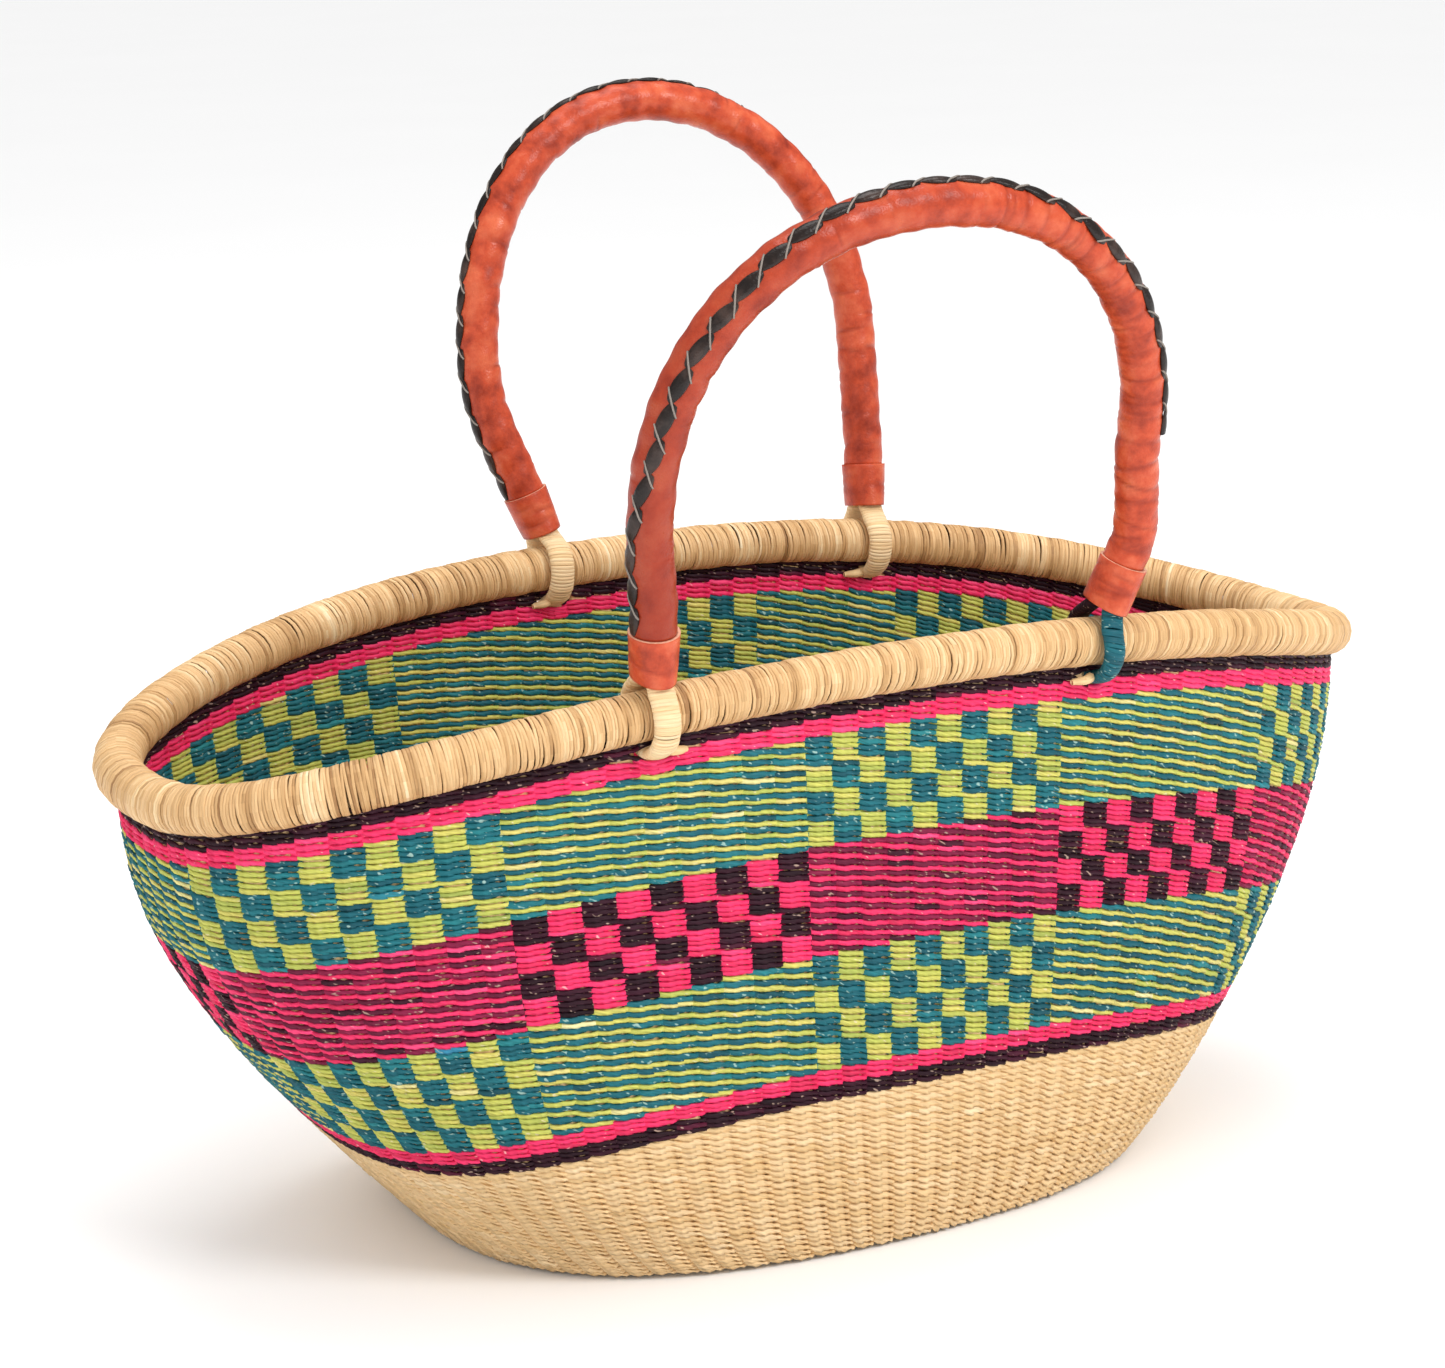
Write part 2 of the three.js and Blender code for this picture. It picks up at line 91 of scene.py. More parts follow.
# Bands of the wall from the rim down: distances down the wall in metres, rows, the finishes of its two
# strands, and which blocks are checked (None where the band is plain).
BANDS = (
    {"name": "upper_black_rows", "top": 0.0065, "bottom": 0.0145, "rows": 4, "dyes": ("black", "black"),
     "checks": None},
    {"name": "upper_pink_rows", "top": 0.0145, "bottom": 0.021, "rows": 3, "dyes": ("pink", "pink"),
     "checks": None},
    {"name": "upper_check_band", "top": 0.021, "bottom": 0.062, "rows": 20, "dyes": ("lime", "teal"),
     "checks": 0},
    {"name": "middle_check_band", "top": 0.062, "bottom": 0.103, "rows": 20, "dyes": ("pink", "black"),
     "checks": 1},
    {"name": "lower_check_band", "top": 0.103, "bottom": 0.147, "rows": 20, "dyes": ("lime", "teal"),
     "checks": 0},
    {"name": "lower_pink_rows", "top": 0.147, "bottom": 0.153, "rows": 3, "dyes": ("pink", "pink"),
     "checks": None},
    {"name": "lower_black_rows", "top": 0.153, "bottom": 0.159, "rows": 3, "dyes": ("black", "black"),
     "checks": None},
    {"name": "natural_wall", "top": 0.159, "bottom": 0.2215, "rows": 25, "dyes": ("natural", "natural"),
     "checks": None},
)

# The two handles, in metres in their own leaning planes, as the frame's handle solids are made. The
# lacing stops at a part of the arch, and turns from the outer side to the front by degrees at parts of it.
HANDLES = (
    {"name": "front", "joint": "front_handle_tilt", "side": -1, "lean": 14.7, "feet": (-0.101, 0.083),
     "slants": (3.0, 19.0), "shoulders": (-0.1075, 0.0895), "shoulder_height": 0.082,
     "top_x": -0.009, "top_height": 0.179, "top_reach": 0.062, "lace_part": 0.87,
     "lace_turns": ((0, 5), (0.08, 5), (0.16, 51), (0.3, 51), (0.48, -8), (0.55, 0), (0.66, 52), (0.88, 38))},
    {"name": "back", "joint": "back_handle_tilt", "side": 1, "lean": 9.0, "feet": (-0.029, 0.117),
     "slants": (21.0, 2.0), "shoulders": (-0.054, 0.118), "shoulder_height": 0.086,
     "top_x": 0.027, "top_height": 0.188, "top_reach": 0.050, "lace_part": 0.96,
     "lace_turns": ((0, 3), (0.5, 0), (0.64, -40), (1, -40))},
)
# Places up a leg from its pivot: where it starts to slant, and the two ends of its cuff.
SLANT_START = 0.008
CUFF_START = 0.007
CUFF_END = 0.0245
# How far the arch keeps its direction beside a cuff and at a shoulder, as shares of the rise between
# them, and above a shoulder, as a share of the crown's height.
LEG_EASE = 0.4
CROWN_EASE = 0.56


# ---------- Sizes and colours that a user would change ----------


class BasketSizes(bpy.types.PropertyGroup):
    rim_radius: bpy.props.FloatProperty(
        name="Rim radius", description="Half the thickness of the wound rim", default=0.0093, unit="LENGTH")
    end_drop: bpy.props.FloatProperty(
        name="End drop", description="How far the rim dips at its two ends", default=0.035, unit="LENGTH")
    end_drop_power: bpy.props.FloatProperty(
        name="Drop power", description="How late along the rim the dip sets in", default=2.3)
    rim_fullness: bpy.props.FloatProperty(
        name="Rim fullness", description="2 is an ellipse, more is squarer", default=2.6)
    base_half_length: bpy.props.FloatProperty(
        name="Floor half length", description="Half the floor's length", default=0.147, unit="LENGTH")
    base_half_width: bpy.props.FloatProperty(
        name="Floor half width", description="Half the floor's width", default=0.111, unit="LENGTH")
    base_fullness: bpy.props.FloatProperty(
        name="Floor fullness", description="2 is an ellipse, more is squarer", default=2.55)
    wall_thickness: bpy.props.FloatProperty(
        name="Wall thickness", description="From float to float through a stake", default=0.005,
        unit="LENGTH")
    stakes: bpy.props.IntProperty(
        name="Stakes", description="Stakes that the rows are twined over", default=STAKE_COUNT, min=8)
    winding_pitch: bpy.props.FloatProperty(
        name="Winding pitch", description="Distance between turns on the rim", default=0.00115, unit="LENGTH")
    sleeve_radius: bpy.props.FloatProperty(
        name="Grip radius", description="Half the thickness of a leather grip", default=0.0081, unit="LENGTH")
    lace_width: bpy.props.FloatProperty(
        name="Lacing width", description="Width of the dark laced strip", default=0.005, unit="LENGTH")


class BasketColours(bpy.types.PropertyGroup):
    natural: bpy.props.StringProperty(name="Natural", description="Undyed straw", default="#E5C494")
    lime: bpy.props.StringProperty(name="Lime", description="Yellow-green straw", default="#C1C25A")
    teal: bpy.props.StringProperty(name="Teal", description="Blue-green straw", default="#1A6A74")
    pink: bpy.props.StringProperty(name="Pink", description="Pink straw", default="#F02E68")
    black: bpy.props.StringProperty(name="Black", description="Aubergine black straw", default="#2A0F1B")
    leather: bpy.props.StringProperty(name="Leather", description="Terracotta leather", default="#BE4829")
    lacing: bpy.props.StringProperty(name="Lacing", description="Dark laced strip", default="#241B18")


# ---------- Materials ----------


def to_linear(hex_colour):
    """An sRGB hex colour as linear red, green, blue and full alpha."""
    values = [int(hex_colour[i:i + 2], 16) / 255 for i in (1, 3, 5)]
    linear = [v / 12.92 if v <= 0.04045 else ((v + 0.055) / 1.055) ** 2.4 for v in values]
    return (*linear, 1.0)


def add_node(tree, kind, inputs=None, **settings):
    """Adds a node, sets its settings, and fills or links its inputs by name or number."""
    node = tree.nodes.new(kind)
    for key, value in settings.items():
        setattr(node, key, value)
    for key, value in (inputs or {}).items():
        if isinstance(value, bpy.types.NodeSocket):
            tree.links.new(value, node.inputs[key])
        else:
            node.inputs[key].default_value = value
    return node


def new_material(name):
    material = bpy.data.materials.new(name)
    material.use_nodes = True
    tree = material.node_tree
    shader = tree.nodes["Principled BSDF"]
    return material, tree, shader


def set_ramp(node, stops):
    """Gives a colour ramp its stops, as (place, hex colour)."""
    ramp = node.color_ramp
    while len(ramp.elements) < len(stops):
        ramp.elements.new(0.5)
    for element, (place, colour) in zip(ramp.elements, stops):
        element.position = place
        element.color = to_linear(colour)


def straw_material(name, shades, fleck_and_glint_colour, fleck_and_glint_share, roughness, shine=0.35, contrast=0.22):
    """Dyed or natural elephant grass, twisted by hand. The blade keeps its lengthwise fibres and a waxy
    skin, so each strand shows fine streaks and a soft gloss. It is also flecked: darker on undyed straw,
    and pale on dyed straw, where the flecks are partly spots the dye didn't take and partly painted glints."""
    material, tree, shader = new_material(name)
    tone = add_node(tree, "ShaderNodeAttribute", attribute_name="straw_tone")
    ramp = add_node(tree, "ShaderNodeValToRGB", {0: tone.outputs["Fac"]})
    set_ramp(ramp, shades)
    strand = add_node(tree, "ShaderNodeUVMap", uv_map="strand")
    # The strand map holds metres along and the share of the way round: fibres are about 9 mm long
    # and a tenth of the strand wide.
    fibre_place = add_node(tree, "ShaderNodeMapping", {0: strand.outputs[0], "Scale": (110, 10, 1)})
    fibres = add_node(tree, "ShaderNodeTexNoise",
                      {"Vector": fibre_place.outputs[0], "Scale": 1.0, "Detail": 3.0})
    streak = add_node(tree, "ShaderNodeMapRange",
                      {0: fibres.outputs["Fac"], 1: 0.3, 2: 0.7, 3: 1 - contrast, 4: 1 + contrast})
    streaked = add_node(tree, "ShaderNodeMix", {"Factor": 1.0, 6: ramp.outputs[0], 7: streak.outputs[0]},
                        data_type="RGBA", blend_type="MULTIPLY")
    # Flecks are 2 to 3 mm long. On dyed straw the pale ones stand partly for painted glints.
    fleck_and_glint_place = add_node(tree, "ShaderNodeMapping", {0: strand.outputs[0], "Scale": (330, 4, 1)})
    flecks_and_glints = add_node(tree, "ShaderNodeTexNoise",
                      {"Vector": fleck_and_glint_place.outputs[0], "Scale": 1.0, "Detail": 1.0})
    fleck_and_glint_mask = add_node(tree, "ShaderNodeMapRange",
                          {0: flecks_and_glints.outputs["Fac"], 1: fleck_and_glint_share, 2: fleck_and_glint_share + 0.05, 3: 0.0, 4: 0.75})
    coloured = add_node(tree, "ShaderNodeMix",
                        {"Factor": fleck_and_glint_mask.outputs[0], 6: streaked.outputs[2],
                         7: to_linear(fleck_and_glint_colour)},
                        data_type="RGBA")
    bump = add_node(tree, "ShaderNodeBump",
                    {"Height": fibres.outputs["Fac"], "Strength": 0.55, "Distance": 0.00025})
    tree.links.new(coloured.outputs[2], shader.inputs["Base Color"])
    tree.links.new(bump.outputs[0], shader.inputs["Normal"])
    shader.inputs["Roughness"].default_value = roughness
    shader.inputs["Specular IOR Level"].default_value = shine
    return material


def leather_material(name, base, dark, pale):
    """Goatskin, vegetable-tanned and dyed, then glazed by rubbing. It shows a fine pebble and paler rubbed
    patches with a soft shine, and its creases are darkened with painted shade."""
    material, tree, shader = new_material(name)
    place = add_node(tree, "ShaderNodeTexCoord")
    # Blotches are about 12 mm across and the pebble 0.7 mm.
    blotch = add_node(tree, "ShaderNodeTexNoise",
                      {"Vector": place.outputs["Object"], "Scale": 85.0, "Detail": 4.0, "Roughness": 0.6})
    shade = add_node(tree, "ShaderNodeValToRGB", {0: blotch.outputs["Fac"]})
    set_ramp(shade, ((0.28, dark), (0.5, base), (0.74, pale)))
    # Painted shade, darker in the creases and over the near grip's left leg, is read from an attribute and
    # mixed in.
    painted_shade = add_node(tree, "ShaderNodeAttribute", attribute_name="painted_shade")
    with_painted_shade = add_node(tree, "ShaderNodeMix",
                       {"Factor": painted_shade.outputs["Fac"], 6: shade.outputs[0], 7: to_linear(dark)},
                       data_type="RGBA")
    pebble = add_node(tree, "ShaderNodeTexVoronoi",
                      {"Vector": place.outputs["Object"], "Scale": 1400.0}, feature="SMOOTH_F1")
    wear = add_node(tree, "ShaderNodeTexNoise",
                    {"Vector": place.outputs["Object"], "Scale": 420.0, "Detail": 3.0})
    height = add_node(tree, "ShaderNodeMath", {0: pebble.outputs["Distance"], 1: wear.outputs["Fac"]},
                      operation="ADD")
    bump = add_node(tree, "ShaderNodeBump",
                    {"Height": height.outputs[0], "Strength": 0.35, "Distance": 0.0003})
    gloss = add_node(tree, "ShaderNodeMapRange",
                     {0: blotch.outputs["Fac"], 1: 0.3, 2: 0.7, 3: 0.42, 4: 0.26})
    tree.links.new(with_painted_shade.outputs[2], shader.inputs["Base Color"])
    tree.links.new(bump.outputs[0], shader.inputs["Normal"])
    tree.links.new(gloss.outputs[0], shader.inputs["Roughness"])
    shader.inputs["Specular IOR Level"].default_value = 0.32
    return material


def plain_leather_edge(name, colour):
    """The cut edge of a hide, where the undyed fibres show. It is pale, matt and slightly furry."""
    material, tree, shader = new_material(name)
    place = add_node(tree, "ShaderNodeTexCoord")
    fuzz = add_node(tree, "ShaderNodeTexNoise",
                    {"Vector": place.outputs["Object"], "Scale": 900.0, "Detail": 2.0})
    shade = add_node(tree, "ShaderNodeMapRange", {0: fuzz.outputs["Fac"], 1: 0.3, 2: 0.7, 3: 0.75, 4: 1.1})
    mixed = add_node(tree, "ShaderNodeMix", {"Factor": 1.0, 6: to_linear(colour), 7: shade.outputs[0]},
                     data_type="RGBA", blend_type="MULTIPLY")
    bump = add_node(tree, "ShaderNodeBump",
                    {"Height": fuzz.outputs["Fac"], "Strength": 0.4, "Distance": 0.0002})
    tree.links.new(mixed.outputs[2], shader.inputs["Base Color"])
    tree.links.new(bump.outputs[0], shader.inputs["Normal"])
    shader.inputs["Roughness"].default_value = 0.75
    return material


def thread_material(name, colour):
    """Waxed cotton thread, twisted. It is pale and matt with a slight sheen."""
    material, tree, shader = new_material(name)
    place = add_node(tree, "ShaderNodeTexCoord")
    # The twist repeats about every 0.6 mm.
    twist = add_node(tree, "ShaderNodeTexWave",
                     {"Vector": place.outputs["Object"], "Scale": 800.0, "Distortion": 2.0})
    shade = add_node(tree, "ShaderNodeMapRange", {0: twist.outputs["Fac"], 3: 0.7, 4: 1.1})
    mixed = add_node(tree, "ShaderNodeMix", {"Factor": 1.0, 6: to_linear(colour), 7: shade.outputs[0]},
                     data_type="RGBA", blend_type="MULTIPLY")
    tree.links.new(mixed.outputs[2], shader.inputs["Base Color"])
    shader.inputs["Roughness"].default_value = 0.6
    return material


def make_materials(colours):
    """Every finish of the basket, by the name that the pieces use."""
    # A pale fleck colour for dyed straw, which stands partly for painted glints.
    pale_fleck_and_glint = "#DCCFA8"
    return {
        "natural": straw_material(
            "Natural elephant grass, sun-dried",
            ((0.0, "#C9A16B"), (0.35, "#DDB984"), (0.6, colours.natural), (0.85, "#EFD7AE"),
             (1.0, "#F8E9CE")),
            "#C89562", 0.72, 0.55, contrast=0.14),
        "rim": straw_material(
            "Natural elephant grass, split and wound",
            ((0.0, "#9E7448"), (0.3, "#C59B68"), (0.6, "#DBB380"), (0.85, "#E8C99A"), (1.0, "#F1DDB6")),
            "#C98F66", 0.80, 0.5, contrast=0.14),
        "lime": straw_material(
            "Elephant grass, dyed yellow-green",
            ((0.0, "#8C9C4A"), (0.3, "#AFB855"), (0.55, colours.lime), (0.8, "#D3C566"), (1.0, "#E6DDA0")),
            pale_fleck_and_glint, 0.67, 0.5),
        "teal": straw_material(
            "Elephant grass, dyed blue-green",
            ((0.0, "#0F3C44"), (0.35, "#155A66"), (0.6, colours.teal), (0.85, "#257F84"), (1.0, "#3381A2")),
            "#A9C9BE", 0.65, 0.5, shine=0.25),
        "pink": straw_material(
            "Elephant grass, dyed hot pink",
            ((0.0, "#BE1C48"), (0.3, "#E02558"), (0.6, colours.pink), (0.9, "#F84A80"), (1.0, "#F87C98")),
            "#F2B9B6", 0.70, 0.5),
        "black": straw_material(
            "Elephant grass, dyed aubergine black",
            ((0.0, "#140910"), (0.45, colours.black), (0.7, "#3E1427"), (1.0, "#861C42")),
            "#BCA08E", 0.66, 0.5, shine=0.2),
        "leather": leather_material("Goatskin, glazed terracotta", colours.leather, "#862612", "#D66B48"),
        "leather_edge": plain_leather_edge("Goatskin, cut edge", "#DDA184"),
        "lacing": leather_material("Goatskin lace, dyed dark", colours.lacing, "#120C0B", "#4A3A34"),
        "thread": thread_material("Cotton thread, waxed", "#8F857C"),
    }


MATERIALS = {}


def shared_materials(context):
    """The finishes, made once and kept for every operator."""
    if not MATERIALS:
        MATERIALS.update(make_materials(context.scene.basket_colours))
    return MATERIALS


# ---------- The basket's surface ----------


def unit(vectors):
    return vectors / np.maximum(np.linalg.norm(vectors, axis=-1, keepdims=True), 1e-12)


def even_oval(half_length, half_width, fullness, turns):
    """Points of a full oval, evenly spaced by length. Turn 0 is the +X end, and it runs through +Y."""
    angles = np.linspace(0, 2 * np.pi, OVAL_SAMPLES)
    c, s = np.cos(angles), np.sin(angles)
    x = half_length * np.sign(c) * np.abs(c) ** (2 / fullness)
    y = half_width * np.sign(s) * np.abs(s) ** (2 / fullness)
    lengths = np.concatenate([[0], np.cumsum(np.hypot(np.diff(x), np.diff(y)))])
    wanted = (turns % 1.0) * lengths[-1]
    return np.interp(wanted, lengths, x), np.interp(wanted, lengths, y), lengths[-1]


def around(values):
    """Central differences of samples that close on themselves along the first axis."""
    return np.roll(values, -1, axis=0) - np.roll(values, 1, axis=0)


class BasketShape:
    """The rim's centre line and the wall's outer surface, as tables that any place can be read from."""

    def __init__(self, sizes):
        self.sizes = sizes
        self.half_length = RIM_HIGH.x - sizes.rim_radius
        self.half_width = RIM_HIGH.y - sizes.rim_radius
        self.rim_height = RIM_HIGH.z - sizes.rim_radius
        turns = np.arange(WALL_SAMPLES) / WALL_SAMPLES
        x, y, self.rim_length = even_oval(self.half_length, self.half_width, sizes.rim_fullness, turns)
        z = self.rim_height - sizes.end_drop * np.abs(x / self.half_length) ** sizes.end_drop_power
        self.rim = np.stack([x, y, z], -1)
        self.rim_along = unit(around(self.rim))
        self.rim_out = unit(np.stack([self.rim_along[:, 1], -self.rim_along[:, 0], 0 * x], -1))
        self.rim_up = np.cross(self.rim_out, self.rim_along)
        self.make_wall(turns)

    def make_wall(self, turns):
        sizes = self.sizes
        x, y, _ = even_oval(sizes.base_half_length, sizes.base_half_width, sizes.base_fullness, turns)
        foot = np.stack([x, y, 0 * x], -1)
        top = self.rim + self.rim_out * sizes.wall_thickness / 2
        out = unit((top - foot) * (1, 1, 0))
        endness = ((self.rim[:, 0] / self.half_length) ** 2)[:, None]
        mix = {key: SIDE_PROFILE[key] + (END_PROFILE[key] - SIDE_PROFILE[key]) * endness
               for key in SIDE_PROFILE}
        up = np.array([0, 0, 1.0])
        low = foot + out * mix["low_out"] + up * mix["low_up"]
        high = top + out * mix["high_out"] - up * mix["high_down"]
        t = np.linspace(0, 1, CURVE_SAMPLES)[None, :, None]
        curve = ((1 - t) ** 3 * foot[:, None] + 3 * t * (1 - t) ** 2 * low[:, None]
                 + 3 * t ** 2 * (1 - t) * high[:, None] + t ** 3 * top[:, None])
        steps = np.linalg.norm(np.diff(curve, axis=1), axis=2)
        lengths = np.concatenate([np.zeros((len(turns), 1)), np.cumsum(steps, 1)], 1)
        self.wall_length = lengths[:, -1]
        rises = np.linspace(0, 1, RISE_SAMPLES + 1)
        self.wall = np.empty((len(turns), RISE_SAMPLES + 1, 3))
        for i in range(len(turns)):
            for axis in range(3):
                self.wall[i, :, axis] = np.interp(rises * lengths[i, -1], lengths[i], curve[i, :, axis])
        upwards = unit(np.gradient(self.wall, axis=1))
        self.wall_out = unit(np.cross(unit(around(self.wall)), upwards))
        self.wall_up = upwards

    def read_rim(self, turn):
        """Centre, direction, level outward axis and upward axis of the rim tube at each turn."""
        place = (turn % 1.0) * WALL_SAMPLES
        low = np.floor(place).astype(int) % WALL_SAMPLES
        part = (place - np.floor(place))[..., None]
        tables = (self.rim, self.rim_along, self.rim_out, self.rim_up)
        return [t[low] * (1 - part) + t[(low + 1) % WALL_SAMPLES] * part for t in tables]

    def read_wall(self, turn, down):
        """Outer surface, outward axis and upward axis at each turn and distance down the wall."""
        place = (turn % 1.0) * WALL_SAMPLES
        low = np.floor(place).astype(int) % WALL_SAMPLES
        high = (low + 1) % WALL_SAMPLES
        part = (place - np.floor(place))[..., None]
        length = self.wall_length[low]
        rise = np.clip(1 - down / length, 0, 1) * RISE_SAMPLES
        level = np.minimum(rise.astype(int), RISE_SAMPLES - 1)
        rest = (rise - level)[..., None]
        result = []
        for table in (self.wall, self.wall_out, self.wall_up):
            below = table[low, level] * (1 - part) + table[high, level] * part
            above = table[low, level + 1] * (1 - part) + table[high, level + 1] * part
            result.append(below * (1 - rest) + above * rest)
        return result


# ---------- Meshes from grids of points ----------

# The straw tone of a piece that is all one shade.
PLAIN_TONE = 0.5
# How far the grain of each strand is moved along from the strand before it, in metres.
GRAIN_SHIFT = 0.37


def bake_map(strands, points, sides, folds):
    """Corner places that lay every strand in its own strips, in as many columns as suit its shape."""
    strips = strands * folds
    columns = max(1, round(math.sqrt(strips * sides * 0.35 / max(points / folds, 1))))
    rows = math.ceil(strips / columns)
    per_fold = points // folds
    point = np.arange(points)
    strip = np.arange(strands)[:, None] * folds + (point // per_fold)[None, :]
    column, row = strip % columns, strip // columns
    inside = (point % per_fold)[None, :, None] + np.array([0, 1, 1, 0])
    u = (column[..., None] + 0.01 + 0.98 * inside / per_fold) / columns
    side = np.arange(sides)[:, None] + np.array([0, 0, 1, 1])
    v = (row[:, :, None, None] + 0.06 + 0.88 * side / sides) / rows
    u = np.broadcast_to(u[:, :, None, :], (strands, points, sides, 4))
    v = np.broadcast_to(v, (strands, points, sides, 4))
    return np.stack([u, v], -1)


def grid_mesh(name, rings, materials, tone=None, finish=None, folds=1, painted_shade=None, capped=False):
    """One mesh from rings of points, shaped (strands, points, sides, 3). A strand closes on itself
    along its points, or has flat ends where it is capped. Tone and finish are per strand and point."""
    strands, points, sides, _ = rings.shape
    s, p, q = np.meshgrid(np.arange(strands), np.arange(points), np.arange(sides), indexing="ij")
    next_p, next_q = (p + 1) % points, (q + 1) % sides

    def index(a, b):
        return (s * points + a) * sides + b

    quads = np.stack([index(p, q), index(next_p, q), index(next_p, next_q), index(p, next_q)], -1)
    kept = slice(0, points - 1) if capped else slice(0, points)
    quads = quads[:, kept].reshape(-1, 4)
    corners = quads.ravel()
    totals = np.full(len(quads), 4)
    if capped:
        first = np.arange(sides)[::-1]
        last = (points - 1) * sides + np.arange(sides)
        caps = [ring + strand * points * sides for strand in range(strands) for ring in (first, last)]
        corners = np.concatenate([corners, *caps])
        totals = np.concatenate([totals, np.full(2 * strands, sides)])
    mesh = bpy.data.meshes.new(name)
    mesh.vertices.add(strands * points * sides)
    mesh.vertices.foreach_set("co", rings.reshape(-1).astype(np.float32))
    mesh.loops.add(len(corners))
    mesh.loops.foreach_set("vertex_index", corners.astype(np.int32))
    mesh.polygons.add(len(totals))
    starts = np.concatenate([[0], np.cumsum(totals)[:-1]])
    mesh.polygons.foreach_set("loop_start", starts.astype(np.int32))
    mesh.polygons.foreach_set("use_smooth", np.ones(len(totals), bool))

    def per_face(values, filler):
        spread = np.broadcast_to(values[:, :, None], (strands, points, sides))[:, kept].ravel()
        return np.concatenate([spread, np.full(len(totals) - len(quads), filler)])

    if finish is not None:
        mesh.polygons.foreach_set("material_index", per_face(finish, 0).astype(np.int32))
    if tone is None:
        tone = np.full((strands, points), PLAIN_TONE)
    shade = per_face(tone, PLAIN_TONE)
    mesh.attributes.new("straw_tone", "FLOAT", "FACE").data.foreach_set("value", shade.astype(np.float32))
    # Painted shade per point, for the leather pieces.
    if painted_shade is not None:
        layer = mesh.attributes.new("painted_shade", "FLOAT", "POINT")
        layer.data.foreach_set("value", painted_shade.reshape(-1).astype(np.float32))

    filler = np.full((len(corners) - 4 * len(quads), 2), 0.001)
    bake = bake_map(strands, points, sides, folds)[:, kept].reshape(-1, 2)
    layer = mesh.uv_layers.new(name="OFBake")
    layer.data.foreach_set("uv", np.concatenate([bake, filler]).astype(np.float32).ravel())
    centre = rings.mean(axis=2)
    run = np.linalg.norm(np.roll(centre, -1, axis=1) - centre, axis=-1)
    start = np.cumsum(run, axis=1) - run + GRAIN_SHIFT * np.arange(strands)[:, None]
    along = np.stack([start, start + run, start + run, start], -1)[:, :, None, :]
    along = np.broadcast_to(along, (strands, points, sides, 4))
    round_share = (np.arange(sides)[:, None] + np.array([0, 0, 1, 1])) / sides
    round_share = np.broadcast_to(round_share, (strands, points, sides, 4))
    strand_map = np.stack([along, round_share], -1)[:, kept].reshape(-1, 2)
    layer = mesh.uv_layers.new(name="strand")
    layer.data.foreach_set("uv", np.concatenate([strand_map, filler]).astype(np.float32).ravel())
    mesh.update(calc_edges=True)
    mesh.validate()
    obj = bpy.data.objects.new(name, mesh)
    bpy.context.collection.objects.link(obj)
    for material in materials:
        mesh.materials.append(material)
    return obj


def settle(piece, body, slot, *nodes):
    """Lets a piece ride with its body and stand for its nodes, which it hides. Its slot is not used."""
    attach(piece, body)
    if nodes:
        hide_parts(*nodes)


# ---------- Twining ----------

# Places across a stake where a strand has a ring, from one crossing to just before the next.
RING_PLACES = np.array([-0.5, -0.38, -0.15, 0.15, 0.38])
# A strand's shape in shares of its row's height: how far it slopes between stakes, dyed or natural, how
# thick it is over a stake and how much more at a crossing, and its full half width, of which a share is
# there at a crossing and the rest is gained over a stake.
DYED_GLIDE = 0.46
NATURAL_GLIDE = 0.36
FLOAT_THICK = 0.36
CROSSING_THICK = 0.24
HALF_WIDTH = 0.67
CROSSING_SHARE = 0.80
FLOAT_SHARE = 0.20
FLARE_POWER = 0.55
# Yellow-green straw is split finer than the teal that it is twined with.
LIME_WIDTH = 0.86
TEAL_WIDTH = 1.14


def stake_turns(place, stakes):
    """Turns round the rim of places counted in stakes, spread evenly within each block."""
    starts = np.array([BLOCK_STARTS[-1] - STAKE_COUNT, *BLOCK_STARTS, BLOCK_STARTS[0] + STAKE_COUNT])
    turns = np.array([BLOCK_TURNS[-1] - 1, *BLOCK_TURNS, BLOCK_TURNS[0] + 1])
    return np.interp((place + 0.5) / stakes, starts / STAKE_COUNT, turns)


def pattern_of(band, row, stake):
    """Which of a band's two dyes shows outside at each row and stake, 0 or 1, and where it is striped."""
    if band["checks"] is None:
        plain = np.zeros(np.broadcast(row, stake).shape, int)
        return plain, plain > 0
    block = (np.searchsorted(BLOCK_STARTS, stake, side="right") - 1) % len(BLOCK_STARTS)
    checked = block % 2 == band["checks"]
    check = (stake + row // ROWS_PER_CHECK + band["checks"] + (block == SHIFTED_BLOCK)) % 2
    stripe = (stake + row) % 2
    return np.where(checked, check, stripe), ~checked & (row >= 0)


def smoothed(rng, shape):
    """Random values that drift along the last axis, which closes on itself."""
    values = rng.normal(0, 1, shape)
    return sum(np.roll(values, k, axis=-1) for k in range(4)) / 2


